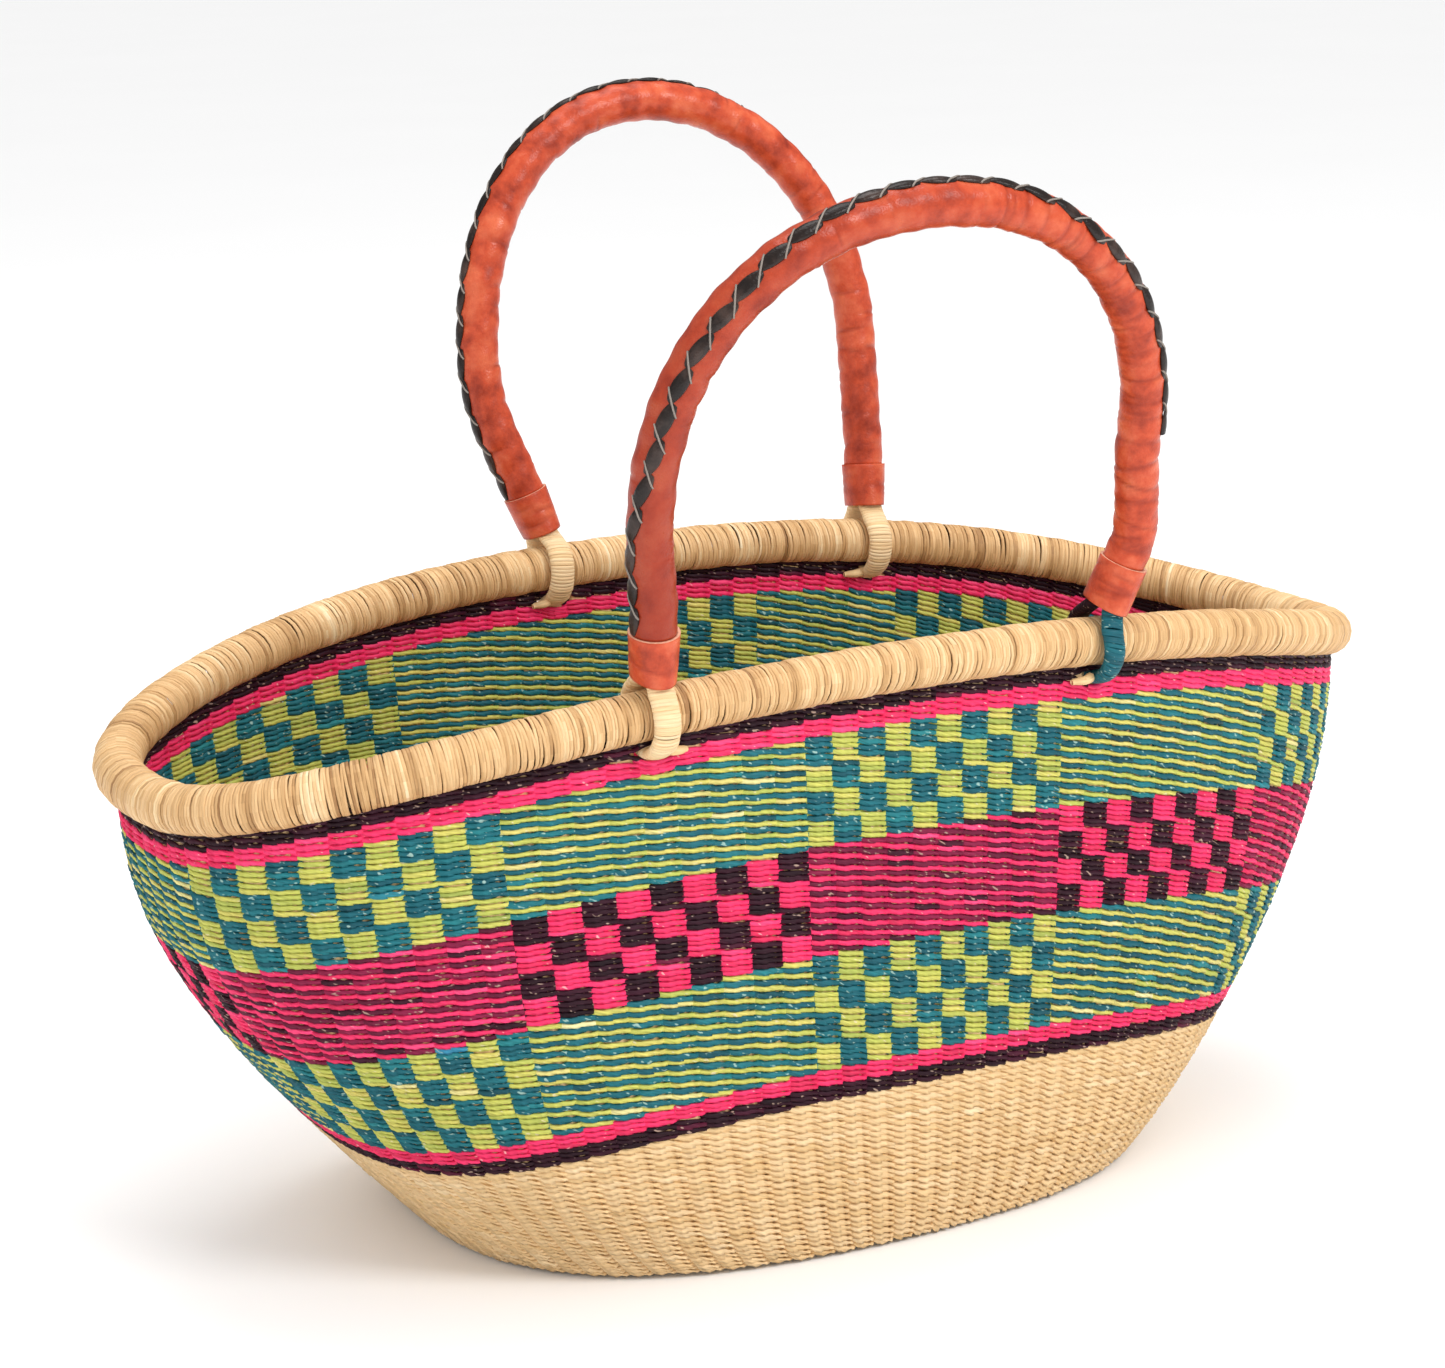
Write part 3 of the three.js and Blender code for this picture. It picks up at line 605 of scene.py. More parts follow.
def twine(sampler, stakes, downs, pitch, rng, band, first=0, relief=1.5, fatness=1.0, mottle=1.0):
    """Pairs of strands that turn round each other between the stakes, one pair for each row.

    Each strand is a flattened helix: over a stake it floats outside, sloping down to the next crossing,
    and it comes back up inside. The relief is how far a float stands out, in millimetres. Returns rings,
    tones and finishes for grid_mesh."""
    stake = np.repeat(np.arange(stakes), len(RING_PLACES))
    place = stake + np.tile(RING_PLACES, stakes)
    rows = len(downs)
    row = np.arange(rows)[:, None, None]
    strand = np.arange(2)[None, :, None]
    angle = np.pi * (place[None, None, :] + strand)
    swing, slope = np.cos(angle), np.sin(angle)
    shape = (rows, 2, stakes)

    def spread(values):
        return np.repeat(values, len(RING_PLACES), axis=2)

    wobble = spread(rng.normal(0, 1, shape))
    thick = spread(rng.normal(1, 0.06, shape))
    over = (stake[None, None, :] + strand) % 2 == 0
    seen, striped = pattern_of(band, row + first, stake[None, None, :])
    dye = np.where(over, seen, 1 - seen) * np.ones((rows, 1, 1), int)
    dyed = band["checks"] is not None
    fine = dyed and band["dyes"][0] == "lime"
    width = fatness * thick * (np.where(dye == 1, TEAL_WIDTH, LIME_WIDTH) if fine else 1.0)
    turn = np.broadcast_to(stake_turns(place, stakes), (rows, 2, len(place)))
    glide = 2 / np.pi * np.arcsin(np.clip(slope, -1, 1))
    down = downs[:, None, None] + pitch * ((DYED_GLIDE if dyed else NATURAL_GLIDE) * glide + 0.05 * wobble)
    # The rows wander a little up and down, five times round the basket.
    down = down + pitch * 0.12 * np.sin(2 * np.pi * (turn * 5 + row * 0.13))
    middle, out, downwards = sampler(turn, down)
    flare = np.abs(swing) ** FLARE_POWER
    reach = np.reshape(relief, (-1, 1, 1)) * MM * np.sign(swing) * flare + 0.08 * MM * wobble * (swing > 0)
    centre = middle + out * reach[..., None]
    roll_out = out * swing[..., None] + downwards * slope[..., None]
    roll_side = -out * slope[..., None] + downwards * swing[..., None]
    turns_round = 2 * np.pi * np.arange(STRAND_SIDES) / STRAND_SIDES + np.pi
    # Between the stakes the two strands bunch up and close the gap to the next row.
    half_thick = pitch * (FLOAT_THICK + CROSSING_THICK * (1 - flare)) * thick / fatness
    half_wide = HALF_WIDTH * pitch * (CROSSING_SHARE + FLOAT_SHARE * flare) * width
    rings = (centre[..., None, :]
             + (half_thick[..., None] * np.cos(turns_round))[..., None] * roll_out[..., None, :]
             + (half_wide[..., None] * np.sin(turns_round))[..., None] * roll_side[..., None, :])
    tone = 0.5 + mottle * (rng.uniform(-0.12, 0.12, (rows, 2, 1))
                           + 0.10 * spread(smoothed(rng, shape)) + 0.07 * spread(rng.normal(0, 1, shape)))
    # Dark straw picks up some pink from the straw that it is striped with.
    tone = tone + 0.38 * ((dye == 1) & striped & (band["dyes"][1] == "black"))
    tone = tone + 0.12 * ((dye == 0) & striped & fine)
    flat = (rows * 2, rings.shape[2])
    return (rings.reshape(*flat, STRAND_SIDES, 3), np.clip(tone, 0, 1).reshape(flat), dye.reshape(flat))


def loop_feet(shape):
    """Turns at which the handle loops pass through the wall under the rim."""
    feet = []
    for handle in HANDLES:
        for x in handle["feet"]:
            side = np.sign(shape.rim[:, 1]) == handle["side"]
            distance = np.where(side, np.abs(shape.rim[:, 0] - x), np.inf)
            feet.append(int(distance.argmin()) / WALL_SAMPLES)
    return feet


def wall_sampler(shape):
    """Places on the wall's middle surface. The rows part where a handle loop goes through."""
    feet = loop_feet(shape)
    hole_down, hole_half_width, hole_half_height, part = 0.0135, 0.0065, 0.006, 0.0030

    def sample(turn, down):
        for foot in feet:
            along = ((turn - foot + 0.5) % 1.0 - 0.5) * shape.rim_length
            near = np.exp(-(along / hole_half_width) ** 2 - np.abs(down - hole_down) / hole_half_height)
            down = down + np.sign(down - hole_down) * part * near
        # The undyed rows close up or spread so that the last one ends at the floor.
        length = np.interp(turn % 1.0, np.arange(WALL_SAMPLES) / WALL_SAMPLES, shape.wall_length)
        top, bottom = BANDS[-1]["top"], BANDS[-1]["bottom"]
        fitted = top + (down - top) * (length - FOOT_MARGIN - top) / (bottom - top)
        surface, out, up = shape.read_wall(turn, np.where(down > top, fitted, down))
        return surface - out * shape.sizes.wall_thickness / 2, out, -up

    return sample


def current_shape():
    return BasketShape(bpy.context.scene.basket_sizes)


class BASKET_OT_wall(bpy.types.Operator):
    """Twine the bands of the wall, from the black rows under the rim to the natural rows at the floor"""

    bl_idname = "basket.wall"
    bl_label = "Twine Wall"

    def execute(self, context):
        shape = current_shape()
        finishes = shared_materials(context)
        slots = {entry["node"]: entry["material_slot"] for entry in frame["record"]["subparts"]}
        sampler = wall_sampler(shape)
        for number, band in enumerate(BANDS):
            pitch = (band["bottom"] - band["top"]) / band["rows"]
            groups = 1 if band["rows"] < 10 else 2
            size = math.ceil(band["rows"] / groups)
            natural = band["name"] == "natural_wall"
            for group in range(groups):
                first = group * size
                count = min(size, band["rows"] - first)
                downs = band["top"] + (first + np.arange(count) + 0.5) * pitch
                rng = np.random.default_rng(100 + 10 * number + group)
                rings, tone, dye = twine(
                    sampler, shape.sizes.stakes, downs, pitch, rng, band, first,
                    relief=np.interp(downs, (0.16, 0.22), (0.7, 1.7)) if natural else 1.2,
                    fatness=1.22 if natural else 1.0, mottle=0.6 if natural else 1.0)
                suffix = "" if groups == 1 else ("_high", "_low")[group]
                materials = [finishes[dye_name] for dye_name in dict.fromkeys(band["dyes"])]
                if len(materials) == 1:
                    dye = 0 * dye
                piece = grid_mesh(band["name"] + "_weave" + suffix, rings, materials, tone, dye, folds=5)
                settle(piece, "basket", slots[band["name"]], band["name"])
        return {"FINISHED"}


class BASKET_OT_stakes(bpy.types.Operator):
    """Stand the stakes inside the wall, between the two strands of every row"""

    bl_idname = "basket.stakes"
    bl_label = "Stand Stakes"

    def execute(self, context):
        shape = current_shape()
        sizes = shape.sizes
        finishes = shared_materials(context)
        levels, sides = 60, 6
        half_wide, half_thick = 0.0048, 0.0009
        highest, lowest, spacing_share = 0.004, 0.2205, 0.37
        turn = stake_turns(np.arange(sizes.stakes), sizes.stakes)
        turn = np.broadcast_to(turn[:, None], (sizes.stakes, levels))
        down = np.broadcast_to(np.linspace(highest, lowest, levels), turn.shape)
        surface, out, up = shape.read_wall(turn, down)
        side = np.cross(out, up)
        # Towards the floor the stakes come closer together and are squeezed narrower.
        spacing = np.linalg.norm(np.roll(surface, -1, axis=0) - surface, axis=-1)
        wide = np.minimum(half_wide, spacing_share * spacing)
        angle = 2 * np.pi * np.arange(sides) / sides
        rings = ((surface - out * sizes.wall_thickness / 2)[:, :, None]
                 + (wide[..., None] * np.cos(angle))[..., None] * side[:, :, None]
                 + (half_thick * np.sin(angle))[:, None] * out[:, :, None])
        tone = np.random.default_rng(5).uniform(0.2, 0.6, (sizes.stakes, 1)) * np.ones((1, levels))
        piece = grid_mesh("wall_stakes", rings, [finishes["natural"]], tone, capped=True)
        settle(piece, "basket", "natural_straw")
        return {"FINISHED"}


class BASKET_OT_floor(bpy.types.Operator):
    """Twine the oval floor, with fewer stakes towards its middle"""

    bl_idname = "basket.floor"
    bl_label = "Twine Floor"

    def execute(self, context):
        sizes = context.scene.basket_sizes
        finishes = shared_materials(context)
        pitch = 0.0027
        dome = 0.004
        depth = sizes.base_half_width
        lift = 0.0035

        def sample(turn, inset):
            # Each row is its own oval, inset from the floor's edge, rounder towards the middle.
            turn_step = 1e-3
            places = []
            for nudge in (0.0, turn_step):
                place = np.empty(turn.shape + (3,))
                for r in range(turn.shape[0]):
                    d = float(np.clip(inset[r].mean(), 0, depth - 0.001))
                    fullness = 2 + (sizes.base_fullness - 2) * (1 - d / depth)
                    x, y, _ = even_oval(sizes.base_half_length - d, depth - d, fullness, turn[r] + nudge)
                    place[r, ..., 0], place[r, ..., 1] = x, y
                    place[r, ..., 2] = lift + dome * (d / depth) * (2 - d / depth)
                places.append(place)
            along = unit(places[1] - places[0])
            under = np.broadcast_to(np.array([0, 0, -1.0]), along.shape)
            inwards = -unit(np.cross(under, along))
            shift = inset - inset.mean(axis=(1, 2), keepdims=True)
            return places[0] + inwards * shift[..., None], under, inwards

        zones = ((0.0, 0.042, 1), (0.042, 0.078, 2), (0.078, depth - 0.002, 4))
        for number, (start, end, divide) in enumerate(zones):
            rows = round((end - start) / pitch)
            downs = start + (np.arange(rows) + 0.5) * (end - start) / rows
            stakes = 2 * round(sizes.stakes / divide / 2)
            rng = np.random.default_rng(300 + number)
            rings, tone, dye = twine(sample, stakes, downs, pitch, rng, BANDS[-1], fatness=1.12, mottle=0.7)
            name = "floor_weave_" + ("edge", "middle", "heart")[number]
            piece = grid_mesh(name, rings, [finishes["natural"]], tone)
            settle(piece, "basket", "natural_straw", "woven_floor")
        self.close_heart(sizes, finishes, lift + dome)
        return {"FINISHED"}

    def close_heart(self, sizes, finishes, height):
        """The bundle that the floor is started on, which fills the slit in its middle."""
        steps, sides = 24, 8
        half_wide, half_thick, overlap = 0.0034, 0.0014, 0.002
        share = np.linspace(-1, 1, steps)
        angle = 2 * np.pi * np.arange(sides) / sides
        taper = (1 - 0.5 * np.abs(share) ** 6)[:, None]
        reach = sizes.base_half_length - sizes.base_half_width + overlap
        rings = np.empty((1, steps, sides, 3))
        rings[0, ..., 0] = (share * reach)[:, None]
        rings[0, ..., 1] = half_wide * taper * np.cos(angle)
        rings[0, ..., 2] = height - half_thick * taper * np.sin(angle)
        piece = grid_mesh("floor_weave_start", rings, [finishes["natural"]], capped=True)
        settle(piece, "basket", "natural_straw")


# ---------- Windings ----------


def winding(centre, along, out, up, half_out, half_up, strand_width, strand_thick, rng, slant, points,
            bulge=None):
    """Turns of straw round a core, each a closed ring. The axes are given for each turn, and each turn is
    slanted by its own share of its width. Returns rings for grid_mesh."""
    turns = len(centre)
    angle = 2 * np.pi * np.arange(points) / points
    c, s = np.cos(angle)[None, :, None], np.sin(angle)[None, :, None]
    wide, tall = np.reshape(half_out, (-1, 1, 1)), np.reshape(half_up, (-1, 1, 1))
    if bulge is not None:
        wide, tall = wide + bulge[:, None, None], tall + bulge[:, None, None]
    spoke = c * wide * out[:, None, :] + s * tall * up[:, None, :]
    normal = unit(c / wide * out[:, None, :] + s / tall * up[:, None, :])
    lean = (slant[:, None] * np.cos(angle - rng.uniform(0, 2 * np.pi, (turns, 1)) * 0.15))[..., None]
    middle = centre[:, None, :] + spoke + along[:, None, :] * lean
    sides = 5
    round_angle = 2 * np.pi * np.arange(sides) / sides + np.pi
    size = rng.normal(1, 0.08, (turns, 1, 1))
    high = strand_thick / 2 * size * np.cos(round_angle)
    flat = strand_width / 2 * size * np.sin(round_angle)
    return (middle[:, :, None, :] + high[..., None] * normal[:, :, None, :]
            - flat[..., None] * along[:, None, None, :])


def wraps(count, low, high, rng):
    """Splits turns into wraps of a few turns each. Returns each turn's wrap and its place in it, 0 to 1."""
    wrap, place = np.empty(count, int), np.empty(count)
    start = number = 0
    while start < count:
        length = min(int(rng.integers(low, high)), count - start)
        wrap[start:start + length] = number
        place[start:start + length] = (np.arange(length) + 0.5) / length
        start, number = start + length, number + 1
    return wrap, place


class BASKET_OT_rim(bpy.types.Operator):
    """Wind straw round the bundled stake ends of the rim"""

    bl_idname = "basket.rim"
    bl_label = "Wind Rim"

    def execute(self, context):
        shape = current_shape()
        sizes = shape.sizes
        finishes = shared_materials(context)
        rng = np.random.default_rng(7)
        shortest_wrap, longest_wrap, ring_points = 9, 15, 16
        strand_width, strand_thick = sizes.winding_pitch * 1.38, 0.0008
        # The turns' middles lie this far inside the rim's surface, which leaves room for the swelling.
        depth = 0.00085
        count = round(shape.rim_length / sizes.winding_pitch)
        turn = (np.arange(count) + rng.normal(0, 0.06, count)) / count
        centre, along, out, up = shape.read_rim(turn)
        along, out, up = unit(along), unit(out), unit(up)
        wrap, place = wraps(count, shortest_wrap, longest_wrap, rng)
        wrap_tone = rng.normal(0, 0.09, wrap.max() + 1)[wrap]
        # Each wrap of straw swells in its middle and ends in a seam.
        swell = rng.uniform(0.00025, 0.0006, wrap.max() + 1)[wrap] * np.sin(np.pi * place) ** 0.6
        painted_seam_shade = np.exp(-(np.minimum(place, 1 - place) / 0.07) ** 2)
        slant = 0.0012 + rng.normal(0, 0.00015, wrap.max() + 1)[wrap]
        half = np.full(count, sizes.rim_radius - depth)
        rings = winding(centre, along, out, up, half, half, strand_width, strand_thick, rng, slant,
                        ring_points, swell + rng.normal(0, 0.00004, count))
        # The tone dips at each seam: painted shade in the groove between two wraps.
        tone = np.clip(0.55 + wrap_tone + rng.normal(0, 0.11, count) - 0.35 * painted_seam_shade, 0, 1)
        tone = np.repeat(tone[:, None], rings.shape[1], axis=1)
        # Lighter and darker lengths of straw also change part of the way round a turn.
        tone = np.clip(tone + 0.05 * rng.normal(0, 1, tone.shape), 0, 1)
        piece = grid_mesh("rim_straw_winding", rings, [finishes["rim"]], tone)
        settle(piece, "basket", "natural_straw", "rim_winding", "rim_core")
        return {"FINISHED"}


# ---------- Handles ----------


class HandleShape:
    """One handle's own frame, from the joint it turns on, with the centre lines of its pieces."""

    def __init__(self, handle, shape):
        self.handle = handle
        joint = JOINTS[handle["joint"]]
        axis = np.array(joint["axis"]) * -handle["side"]
        self.origin = np.array(joint["pos_m"])
        self.along = unit(axis)
        level = np.array([0, handle["side"], 0.0])
        outwards = unit(level - self.along * (level @ self.along))
        upright = np.array([0, 0, 1.0])
        upright = unit(upright - self.along * (upright @ self.along))
        lean = math.radians(handle["lean"])
        self.up = upright * math.cos(lean) + outwards * math.sin(lean)
        self.across = np.cross(self.up, self.along)
        rim = shape.rim[np.sign(shape.rim[:, 1]) == handle["side"]]
        order = np.argsort(rim[:, 0])
        feet = [[np.interp(x, rim[order, 0], rim[order, k]) for k in range(3)] for x in handle["feet"]]
        self.span = float(np.linalg.norm(np.subtract(feet[1], feet[0])))
        self.middle_x = sum(handle["feet"]) / 2
        self.legs = [self.leg(end) for end in (0, 1)]

    def world(self, local):
        """Points of the handle's own frame in the basket's."""
        axes = np.stack([self.along, self.across, self.up])
        return self.origin + local @ axes

    def leg(self, end):
        sign = -1 if end == 0 else 1
        slant = math.radians(self.handle["slants"][end])
        direction = np.array([sign * math.sin(slant), 0, math.cos(slant)])
        pivot = np.array([sign * self.span / 2, 0, SLANT_START])
        return {"sign": sign, "slant": slant, "direction": direction, "pivot": pivot}

    def arch(self, count, start=0.0, end=0.0):
        """Points along the grip, evenly spaced, from start to end metres short of its ends, with their
        directions, their in-plane outer axes, and the grip's whole length."""
        handle = self.handle
        halves = []
        for leg, shoulder_x in zip(self.legs, handle["shoulders"]):
            foot = leg["pivot"] + leg["direction"] * CUFF_END
            shoulder = np.array([shoulder_x - self.middle_x, 0, handle["shoulder_height"]])
            top = np.array([handle["top_x"] - self.middle_x, 0, handle["top_height"]])
            rise = shoulder[2] - foot[2]
            crown = top[2] - shoulder[2]
            up = np.array([0, 0, 1.0])
            sideways = np.array([leg["sign"] * handle["top_reach"], 0, 0])
            leg_curve = (foot, foot + leg["direction"] * rise * LEG_EASE,
                         shoulder - up * rise * LEG_EASE, shoulder)
            crown_curve = (shoulder, shoulder + up * crown * CROWN_EASE, top + sideways, top)
            halves.append(np.concatenate([bezier(leg_curve), bezier(crown_curve)[1:]]))
        line = np.concatenate([halves[0], halves[1][::-1][1:]])
        lengths = np.concatenate([[0], np.cumsum(np.linalg.norm(np.diff(line, axis=0), axis=1))])
        wanted = np.linspace(start, lengths[-1] - end, count)
        points = np.stack([np.interp(wanted, lengths, line[:, k]) for k in range(3)], -1)
        tangent = unit(np.gradient(points, axis=0))
        outer = np.stack([-tangent[:, 2], 0 * tangent[:, 0], tangent[:, 0]], -1)
        return points, tangent, outer, lengths[-1]


def bezier(controls, count=120):
    t = np.linspace(0, 1, count)[:, None]
    a, b, c, d = controls
    return (1 - t) ** 3 * a + 3 * t * (1 - t) ** 2 * b + 3 * t ** 2 * (1 - t) * c + t ** 3 * d


def wrinkles(length, stations, sides, rng, count, inner_side):
    """Depth of the creases across a bent leather tube, as stations by sides, from 0 to 1."""
    place = np.linspace(0, length, stations)[:, None]
    angle = (2 * np.pi * np.arange(sides) / sides)[None, :]
    depth = np.zeros((stations, sides))
    for _ in range(count):
        at = rng.uniform(0.004, length - 0.004)
        facing = rng.normal(np.pi, 0.7) if rng.random() < inner_side else rng.uniform(0, 2 * np.pi)
        reach = rng.uniform(0.5, 1.2)
        tilt = rng.normal(0, 0.0012)
        turn = (angle - facing + np.pi) % (2 * np.pi) - np.pi
        across = (place - at - tilt * turn) / rng.uniform(0.0005, 0.0010)
        depth = np.maximum(depth, rng.uniform(0.35, 1.0) * np.exp(-across ** 2 - (turn / reach) ** 4))
    return depth


def leg_rings(length, stations, sides, rng, start):
    """Creases right round the tube beyond a share of its length, where the leather is drawn tight."""
    place = np.linspace(0, length, stations)[:, None]
    angle = (2 * np.pi * np.arange(sides) / sides)[None, :]
    depth = np.zeros((stations, sides))
    at = start * length
    while at < length - 0.006:
        tilt = rng.normal(0, 0.0014)
        across = (place - at - tilt * np.cos(angle + rng.uniform(0, 6))) / rng.uniform(0.0006, 0.0010)
        depth = np.maximum(depth, rng.uniform(0.5, 1.0) * np.exp(-across ** 2))
        at += rng.uniform(0.0065, 0.0105)
    return depth


class BASKET_OT_grips(bpy.types.Operator):
    """Sew the leather sleeves over the handle cores"""

    bl_idname = "basket.grips"
    bl_label = "Sew Leather Grips"

    def execute(self, context):
        shape = current_shape()
        finishes = shared_materials(context)
        stations, sides = 420, 44
        creases, inner_share, tight_from = 70, 0.65, 0.56
        hide, crease_depth = 0.0014, 0.0005
        for number, handle in enumerate(HANDLES):
            hs = HandleShape(handle, shape)
            rng = np.random.default_rng(40 + number)
            points, _, outer, length = hs.arch(stations)
            depth = wrinkles(length, stations, sides, rng, creases, inner_share)
            if handle["name"] == "front":
                depth = np.maximum(depth, leg_rings(length, stations, sides, rng, tight_from))
            place = np.linspace(0, length, stations)[:, None]
            angle = (2 * np.pi * np.arange(sides) / sides)[None, :]
            # The core's bundles show through as two slow swells, each under a quarter of a millimetre.
            swell = 0.00022 * np.sin(place * 260 + 1.1) * np.cos(angle + place * 40)
            swell = swell + 0.00016 * np.sin(place * 610 + 2 * angle)
            radius = shape.sizes.sleeve_radius + swell - crease_depth * depth
            inner = shape.sizes.sleeve_radius - hide
            spokes = (np.cos(angle)[..., None] * outer[:, None, :]
                      + np.sin(angle)[..., None] * np.array([0, 1.0, 0]))
            outside = points[:, None] + spokes * radius[..., None]
            inside = points[::-1, None] + spokes[::-1] * inner
            grid = np.concatenate([outside, inside]).transpose(1, 0, 2)[::-1][None]
            # The creases are darkened with painted shade.
            shade = 0.7 * depth
            if handle["name"] == "front":
                # Painted shade darkens the near grip's hide over its left leg, the side turned away from the
                # light.
                shade = np.maximum(shade, 0.75 * np.clip(1 - place / (0.55 * length), 0, 1) ** 0.7)
            painted_shade = np.concatenate([shade, shade[::-1]]).T[::-1][None]
            piece = grid_mesh(handle["name"] + "_grip_leather", hs.world(grid), [finishes["leather"]],
                              painted_shade=np.ascontiguousarray(painted_shade))
            settle(piece, handle["name"] + "_handle", "handle_leather",
                   handle["name"] + "_leather_sleeve", handle["name"] + "_handle_core")
        return {"FINISHED"}


class BASKET_OT_lacing(bpy.types.Operator):
    """Lay the dark lace along each grip, where it passes in and out, with its crossing stitches"""

    bl_idname = "basket.lacing"
    bl_label = "Lace Grips"
    spacing = 0.0125

    def execute(self, context):
        shape = current_shape()
        finishes = shared_materials(context)
        half = shape.sizes.lace_width / 2
        radius = shape.sizes.sleeve_radius
        # The section is a low cushion with rounded edges, by place across and height.
        section = [(-1.0, 0.0), (-0.97, 0.5), (-0.75, 0.85), (-0.4, 1.0), (0.0, 1.05), (0.4, 1.0),
                   (0.75, 0.85), (0.97, 0.5), (1.0, 0.0), (0.5, -0.1), (0.0, -0.12), (-0.5, -0.1)]
        stations = 520
        for handle in HANDLES:
            hs = HandleShape(handle, shape)
            length = hs.arch(3)[3]
            end = length * (1 - handle["lace_part"])
            points, tangent, outer, _ = hs.arch(stations, 0.0008, end)
            place = np.linspace(0.0008, length - end, stations)
            away, side = self.turned(handle, place / length, tangent, outer)
            # Between two stitches the lace is a slanting lozenge, pinched where it dips at both ends.
            share = (place / self.spacing) % 1.0
            bulge = np.sin(np.pi * share) ** 0.7
            wide = half * (0.42 + 0.66 * bulge)
            high = 0.0003 + 0.0010 * bulge
            lean = 0.0007 * (2 * share - 1)
            rings = np.empty((1, stations, len(section), 3))
            for k, (across, level) in enumerate(section):
                x = across * wide + lean
                low = np.sqrt(np.maximum(radius ** 2 - x ** 2, 0)) + 0.0001
                rings[0, :, k] = points + away * (low + high * level)[:, None] + side * x[:, None]
            piece = grid_mesh(handle["name"] + "_lace_strip", hs.world(rings), [finishes["lacing"]],
                              painted_shade=np.zeros((1, stations, len(section))), capped=True)
            settle(piece, handle["name"] + "_handle", "lacing_leather", handle["name"] + "_lacing_strip")
            self.stitch(handle, hs, finishes, half, length, end, radius)
        return {"FINISHED"}

    def turned(self, handle, part, tangent, outer):
        """Axes away from the sleeve and across the lace, at each part of the arch."""
        parts, degrees = zip(*handle["lace_turns"])
        angle = np.radians(np.interp(part, parts, degrees))[:, None]
        away = outer * np.cos(angle) - np.array([0, 1.0, 0]) * np.sin(angle)
        return away, np.cross(tangent, away)

    def stitch(self, handle, hs, finishes, half, length, end, radius):
        """Slanted stitches over the pinched places, each a thread that dips into the leather at its ends."""
        reach, thread, steps = 0.0042, 0.00036, 11
        count = int((length - end - reach) / self.spacing)
        rings = np.empty((count, steps, 6, 3))
        t = np.linspace(-1, 1, steps)
        for n in range(count):
            middle = (n + 1) * self.spacing
            points, tangent, outer, _ = hs.arch(steps, middle - reach, length - middle - reach)
            away, side = self.turned(handle, (middle + t * reach) / length, tangent, outer)
            lift = radius + 0.0009 - 0.0009 * np.abs(t) ** 4
            line = points + away * lift[:, None] - side * (t * half * 1.25)[:, None]
            run = unit(np.gradient(line, axis=0))
            flat = unit(np.cross(run, away))
            high = np.cross(flat, run)
            for q in range(6):
                a = 2 * np.pi * q / 6
                rings[n, :, q] = line + thread * (np.cos(a) * flat + np.sin(a) * high)
        piece = grid_mesh(handle["name"] + "_lace_stitches", hs.world(rings), [finishes["thread"]],
                          capped=True)
        settle(piece, handle["name"] + "_handle", "lacing_leather")


class BASKET_OT_cuffs(bpy.types.Operator):
    """Fit a leather cuff at each end of both grips"""

    bl_idname = "basket.cuffs"
    bl_label = "Fit Cuffs"

    def execute(self, context):
        shape = current_shape()
        finishes = shared_materials(context)
        sides, steps = 44, 22
        angle = 2 * np.pi * np.arange(sides) / sides
        share = np.linspace(0, 1, steps)
        # Half widths along the rim and across it, from the mouth to the top, and the hide's thickness.
        narrow = np.interp(share, (0, 0.35, 1), (0.0076, 0.0084, 0.0092))
        broad = np.interp(share, (0, 0.5, 1), (0.0108, 0.0098, 0.0092))
        hide = 0.0016
        for number, handle in enumerate(HANDLES):
            hs = HandleShape(handle, shape)
            for end, leg in enumerate(hs.legs):
                rng = np.random.default_rng(60 + 2 * number + end)
                depth = wrinkles(CUFF_END - CUFF_START, steps, sides, rng, 6, 0.2)
                sideways = np.array([leg["direction"][2], 0, -leg["direction"][0]])
                height = CUFF_START + (CUFF_END - CUFF_START) * share
                centre = leg["pivot"] + leg["direction"] * height[:, None]

                def rings_at(inset):
                    x = (narrow[:, None] - inset) * np.cos(angle)
                    y = (broad[:, None] - inset) * np.sin(angle)
                    return centre[:, None] + x[..., None] * sideways + y[..., None] * np.array([0, 1.0, 0])

                # Up the outside from the mouth, over the top edge, and back down the inside.
                grid = np.concatenate([rings_at(0.0003 * depth), rings_at(hide)[::-1]])
                # Painted shade darkens the wrinkles on the cuff's outside.
                painted_shade = np.concatenate([depth, 0 * depth]) * 0.6
                cut_edge = np.zeros(2 * steps, int)
                cut_edge[[steps - 1, 2 * steps - 1]] = 1
                name = handle["name"] + ("_left", "_right")[end] + "_cuff"
                piece = grid_mesh(name + "_leather", hs.world(grid)[None],
                                  [finishes["leather"], finishes["leather_edge"]],
                                  finish=cut_edge[None], painted_shade=painted_shade[None])
                settle(piece, handle["name"] + "_handle", "handle_leather", name)
        return {"FINISHED"}


